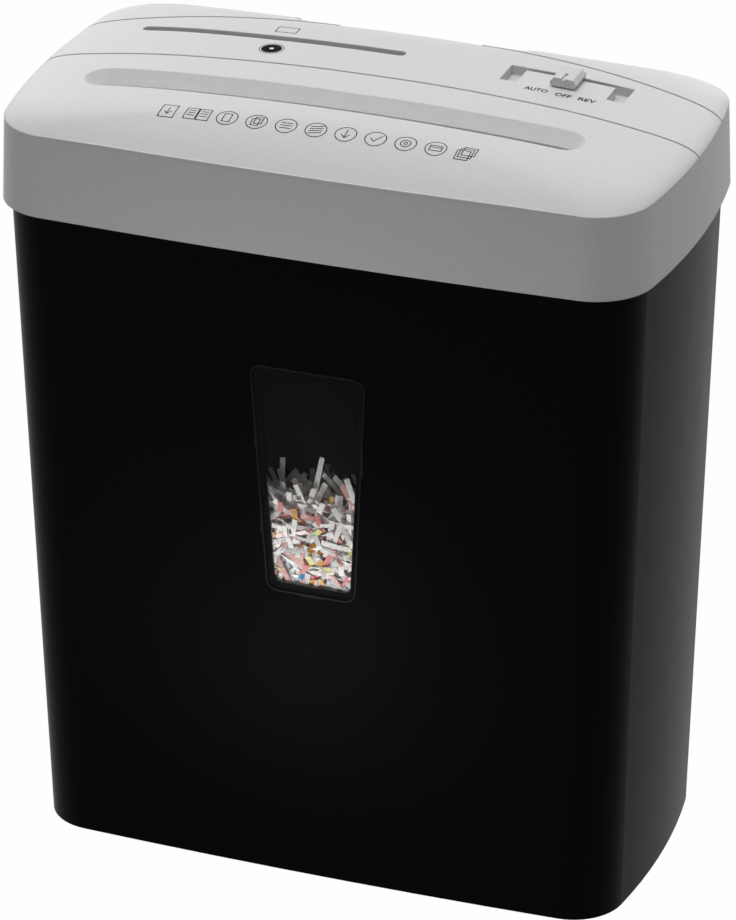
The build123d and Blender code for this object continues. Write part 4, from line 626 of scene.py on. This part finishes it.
def legend(text, x, y, wide, high):
    """A word in plain capitals, drawn to a width and a cap height."""
    bpy.ops.object.select_all(action="DESELECT")
    bpy.ops.object.text_add()
    word = bpy.context.object
    word.data.body = text
    word.data.offset = WORD_WEIGHT
    word.data.align_x = "CENTER"
    word.data.align_y = "CENTER"
    bpy.ops.object.convert(target="MESH")
    word = bpy.context.object
    size = word.dimensions
    word.scale = (wide / size.x, high / size.y, 1.0)
    word.location = (x, y, 0.0)
    drawn.append(word)


def print_on(name, material, lift=INK_LIFT):
    """Join what was drawn and lay it on the cover from straight above."""
    bpy.ops.object.select_all(action="DESELECT")
    for piece in drawn:
        piece.select_set(True)
    bpy.context.view_layer.objects.active = drawn[0]
    bpy.ops.object.transform_apply()
    if len(drawn) > 1:
        bpy.ops.object.join()
    made = bpy.context.object
    made.name = name
    bpy.ops.object.mode_set(mode="EDIT")
    bpy.ops.mesh.select_all(action="SELECT")
    bpy.ops.mesh.normals_make_consistent(inside=False)
    bpy.ops.object.mode_set(mode="OBJECT")
    for vertex in made.data.vertices:
        hit = cover_tree.ray_cast(Vector((vertex.co.x, vertex.co.y, ABOVE)), DOWN)
        vertex.co.z = hit[0].z + lift
    if sum(p.normal.z for p in made.data.polygons) < 0:
        made.data.flip_normals()
    made.data.materials.clear()
    made.data.materials.append(material)
    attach(made, "head")
    drawn.clear()


for index in range(MARK_COUNT):
    x = MARK_FIRST_X + index * MARK_PITCH
    y = MARK_ROW_Y
    r = MARK_RADIUS
    if index not in BARE_MARKS:
        ring(x, y, r)
    # A sheet going down, an open book, one sheet, two sheets, lines, slanted lines, an
    # arrow, a tick, a disc, a card and a stack of sheets, from left to right.
    if index == 0:
        frame_of(x, y, 0.7 * r, 0.95 * r)
        stroke((x, y + 0.5 * r), (x, y - 0.5 * r), (x - 0.3 * r, y - 0.1 * r))
        stroke((x, y - 0.5 * r), (x + 0.3 * r, y - 0.1 * r))
    elif index == 1:
        for side in (-1, 1):
            page = x + side * 0.6 * r
            frame_of(page, y, 0.55 * r, 0.8 * r)
            for row in (-0.3, 0.05, 0.4):
                stroke((page - 0.3 * r, y + row * r), (page + 0.3 * r, y + row * r))
    elif index == 2:
        frame_of(x, y, 0.35 * r, 0.55 * r)
    elif index == 3:
        frame_of(x - 0.1 * r, y - 0.1 * r, 0.35 * r, 0.45 * r)
        frame_of(x + 0.15 * r, y + 0.15 * r, 0.35 * r, 0.45 * r)
    elif index == 4:
        for row in (-0.35, 0.0, 0.35):
            stroke((x - 0.5 * r, y + row * r), (x + 0.5 * r, y + row * r))
    elif index == 5:
        for row in (-0.4, -0.1, 0.2, 0.5):
            stroke((x - 0.55 * r, y + row * r - 0.15 * r), (x + 0.55 * r, y + row * r + 0.1 * r))
    elif index == 6:
        stroke((x, y + 0.6 * r), (x, y - 0.5 * r), (x - 0.35 * r, y - 0.1 * r))
        stroke((x, y - 0.5 * r), (x + 0.35 * r, y - 0.1 * r))
    elif index == 7:
        stroke((x - 0.45 * r, y), (x - 0.1 * r, y - 0.4 * r), (x + 0.5 * r, y + 0.45 * r))
    elif index == 8:
        ring(x, y, 0.5 * r)
        ring(x, y, 0.2 * r)
    elif index == 9:
        frame_of(x, y, 0.55 * r, 0.35 * r)
        stroke((x - 0.55 * r, y + 0.1 * r), (x + 0.55 * r, y + 0.1 * r))
    else:
        for step in (-0.3, 0.0, 0.3):
            frame_of(x + step * r * 0.8, y + step * r, 0.6 * r, 0.65 * r)
print_on("line_marks", ink)

CAP_HEIGHT = 0.0034
CARD_MARK = (-0.0540, 0.0420)
CARD_HALVES = (0.0050, 0.0030)
DISC_MARK = (-0.0530, 0.0190)
DISC_RING = 0.0058
DISC_RING_LINE = 0.00035
DISC_SPOT = 0.0048
DISC_HOLE = 0.0010
for word, x, y, wide in (("AUTO", 0.0736, 0.0170, 0.0108), ("OFF", 0.0865, 0.0160, 0.0074),
                         ("REV", 0.0975, 0.0160, 0.0082)):
    legend(word, x, y, wide, CAP_HEIGHT)
frame_of(*CARD_MARK, *CARD_HALVES)
ring(*DISC_MARK, DISC_RING, DISC_RING_LINE)
spot(*DISC_MARK, DISC_SPOT)
print_on("switch_and_disc_marks", ink)
ink_pale = moulded("pale_pad_print_ink", "#e8e8e8", 0.5, 0.3, 0.5, 0.002)
spot(*DISC_MARK, DISC_HOLE)
print_on("disc_mark_centre", ink_pale, 2 * INK_LIFT)

# Mode knob: the cap of the slide switch, pushed onto its lever through the slit. The
# cover's grey ABS, moulded a little smoother.
dress(moulded("grey_knob_abs", "#c6c6c6", 0.45, 0.4, 0.7, 0.01, 0.02, 0.5), "mode_knob")
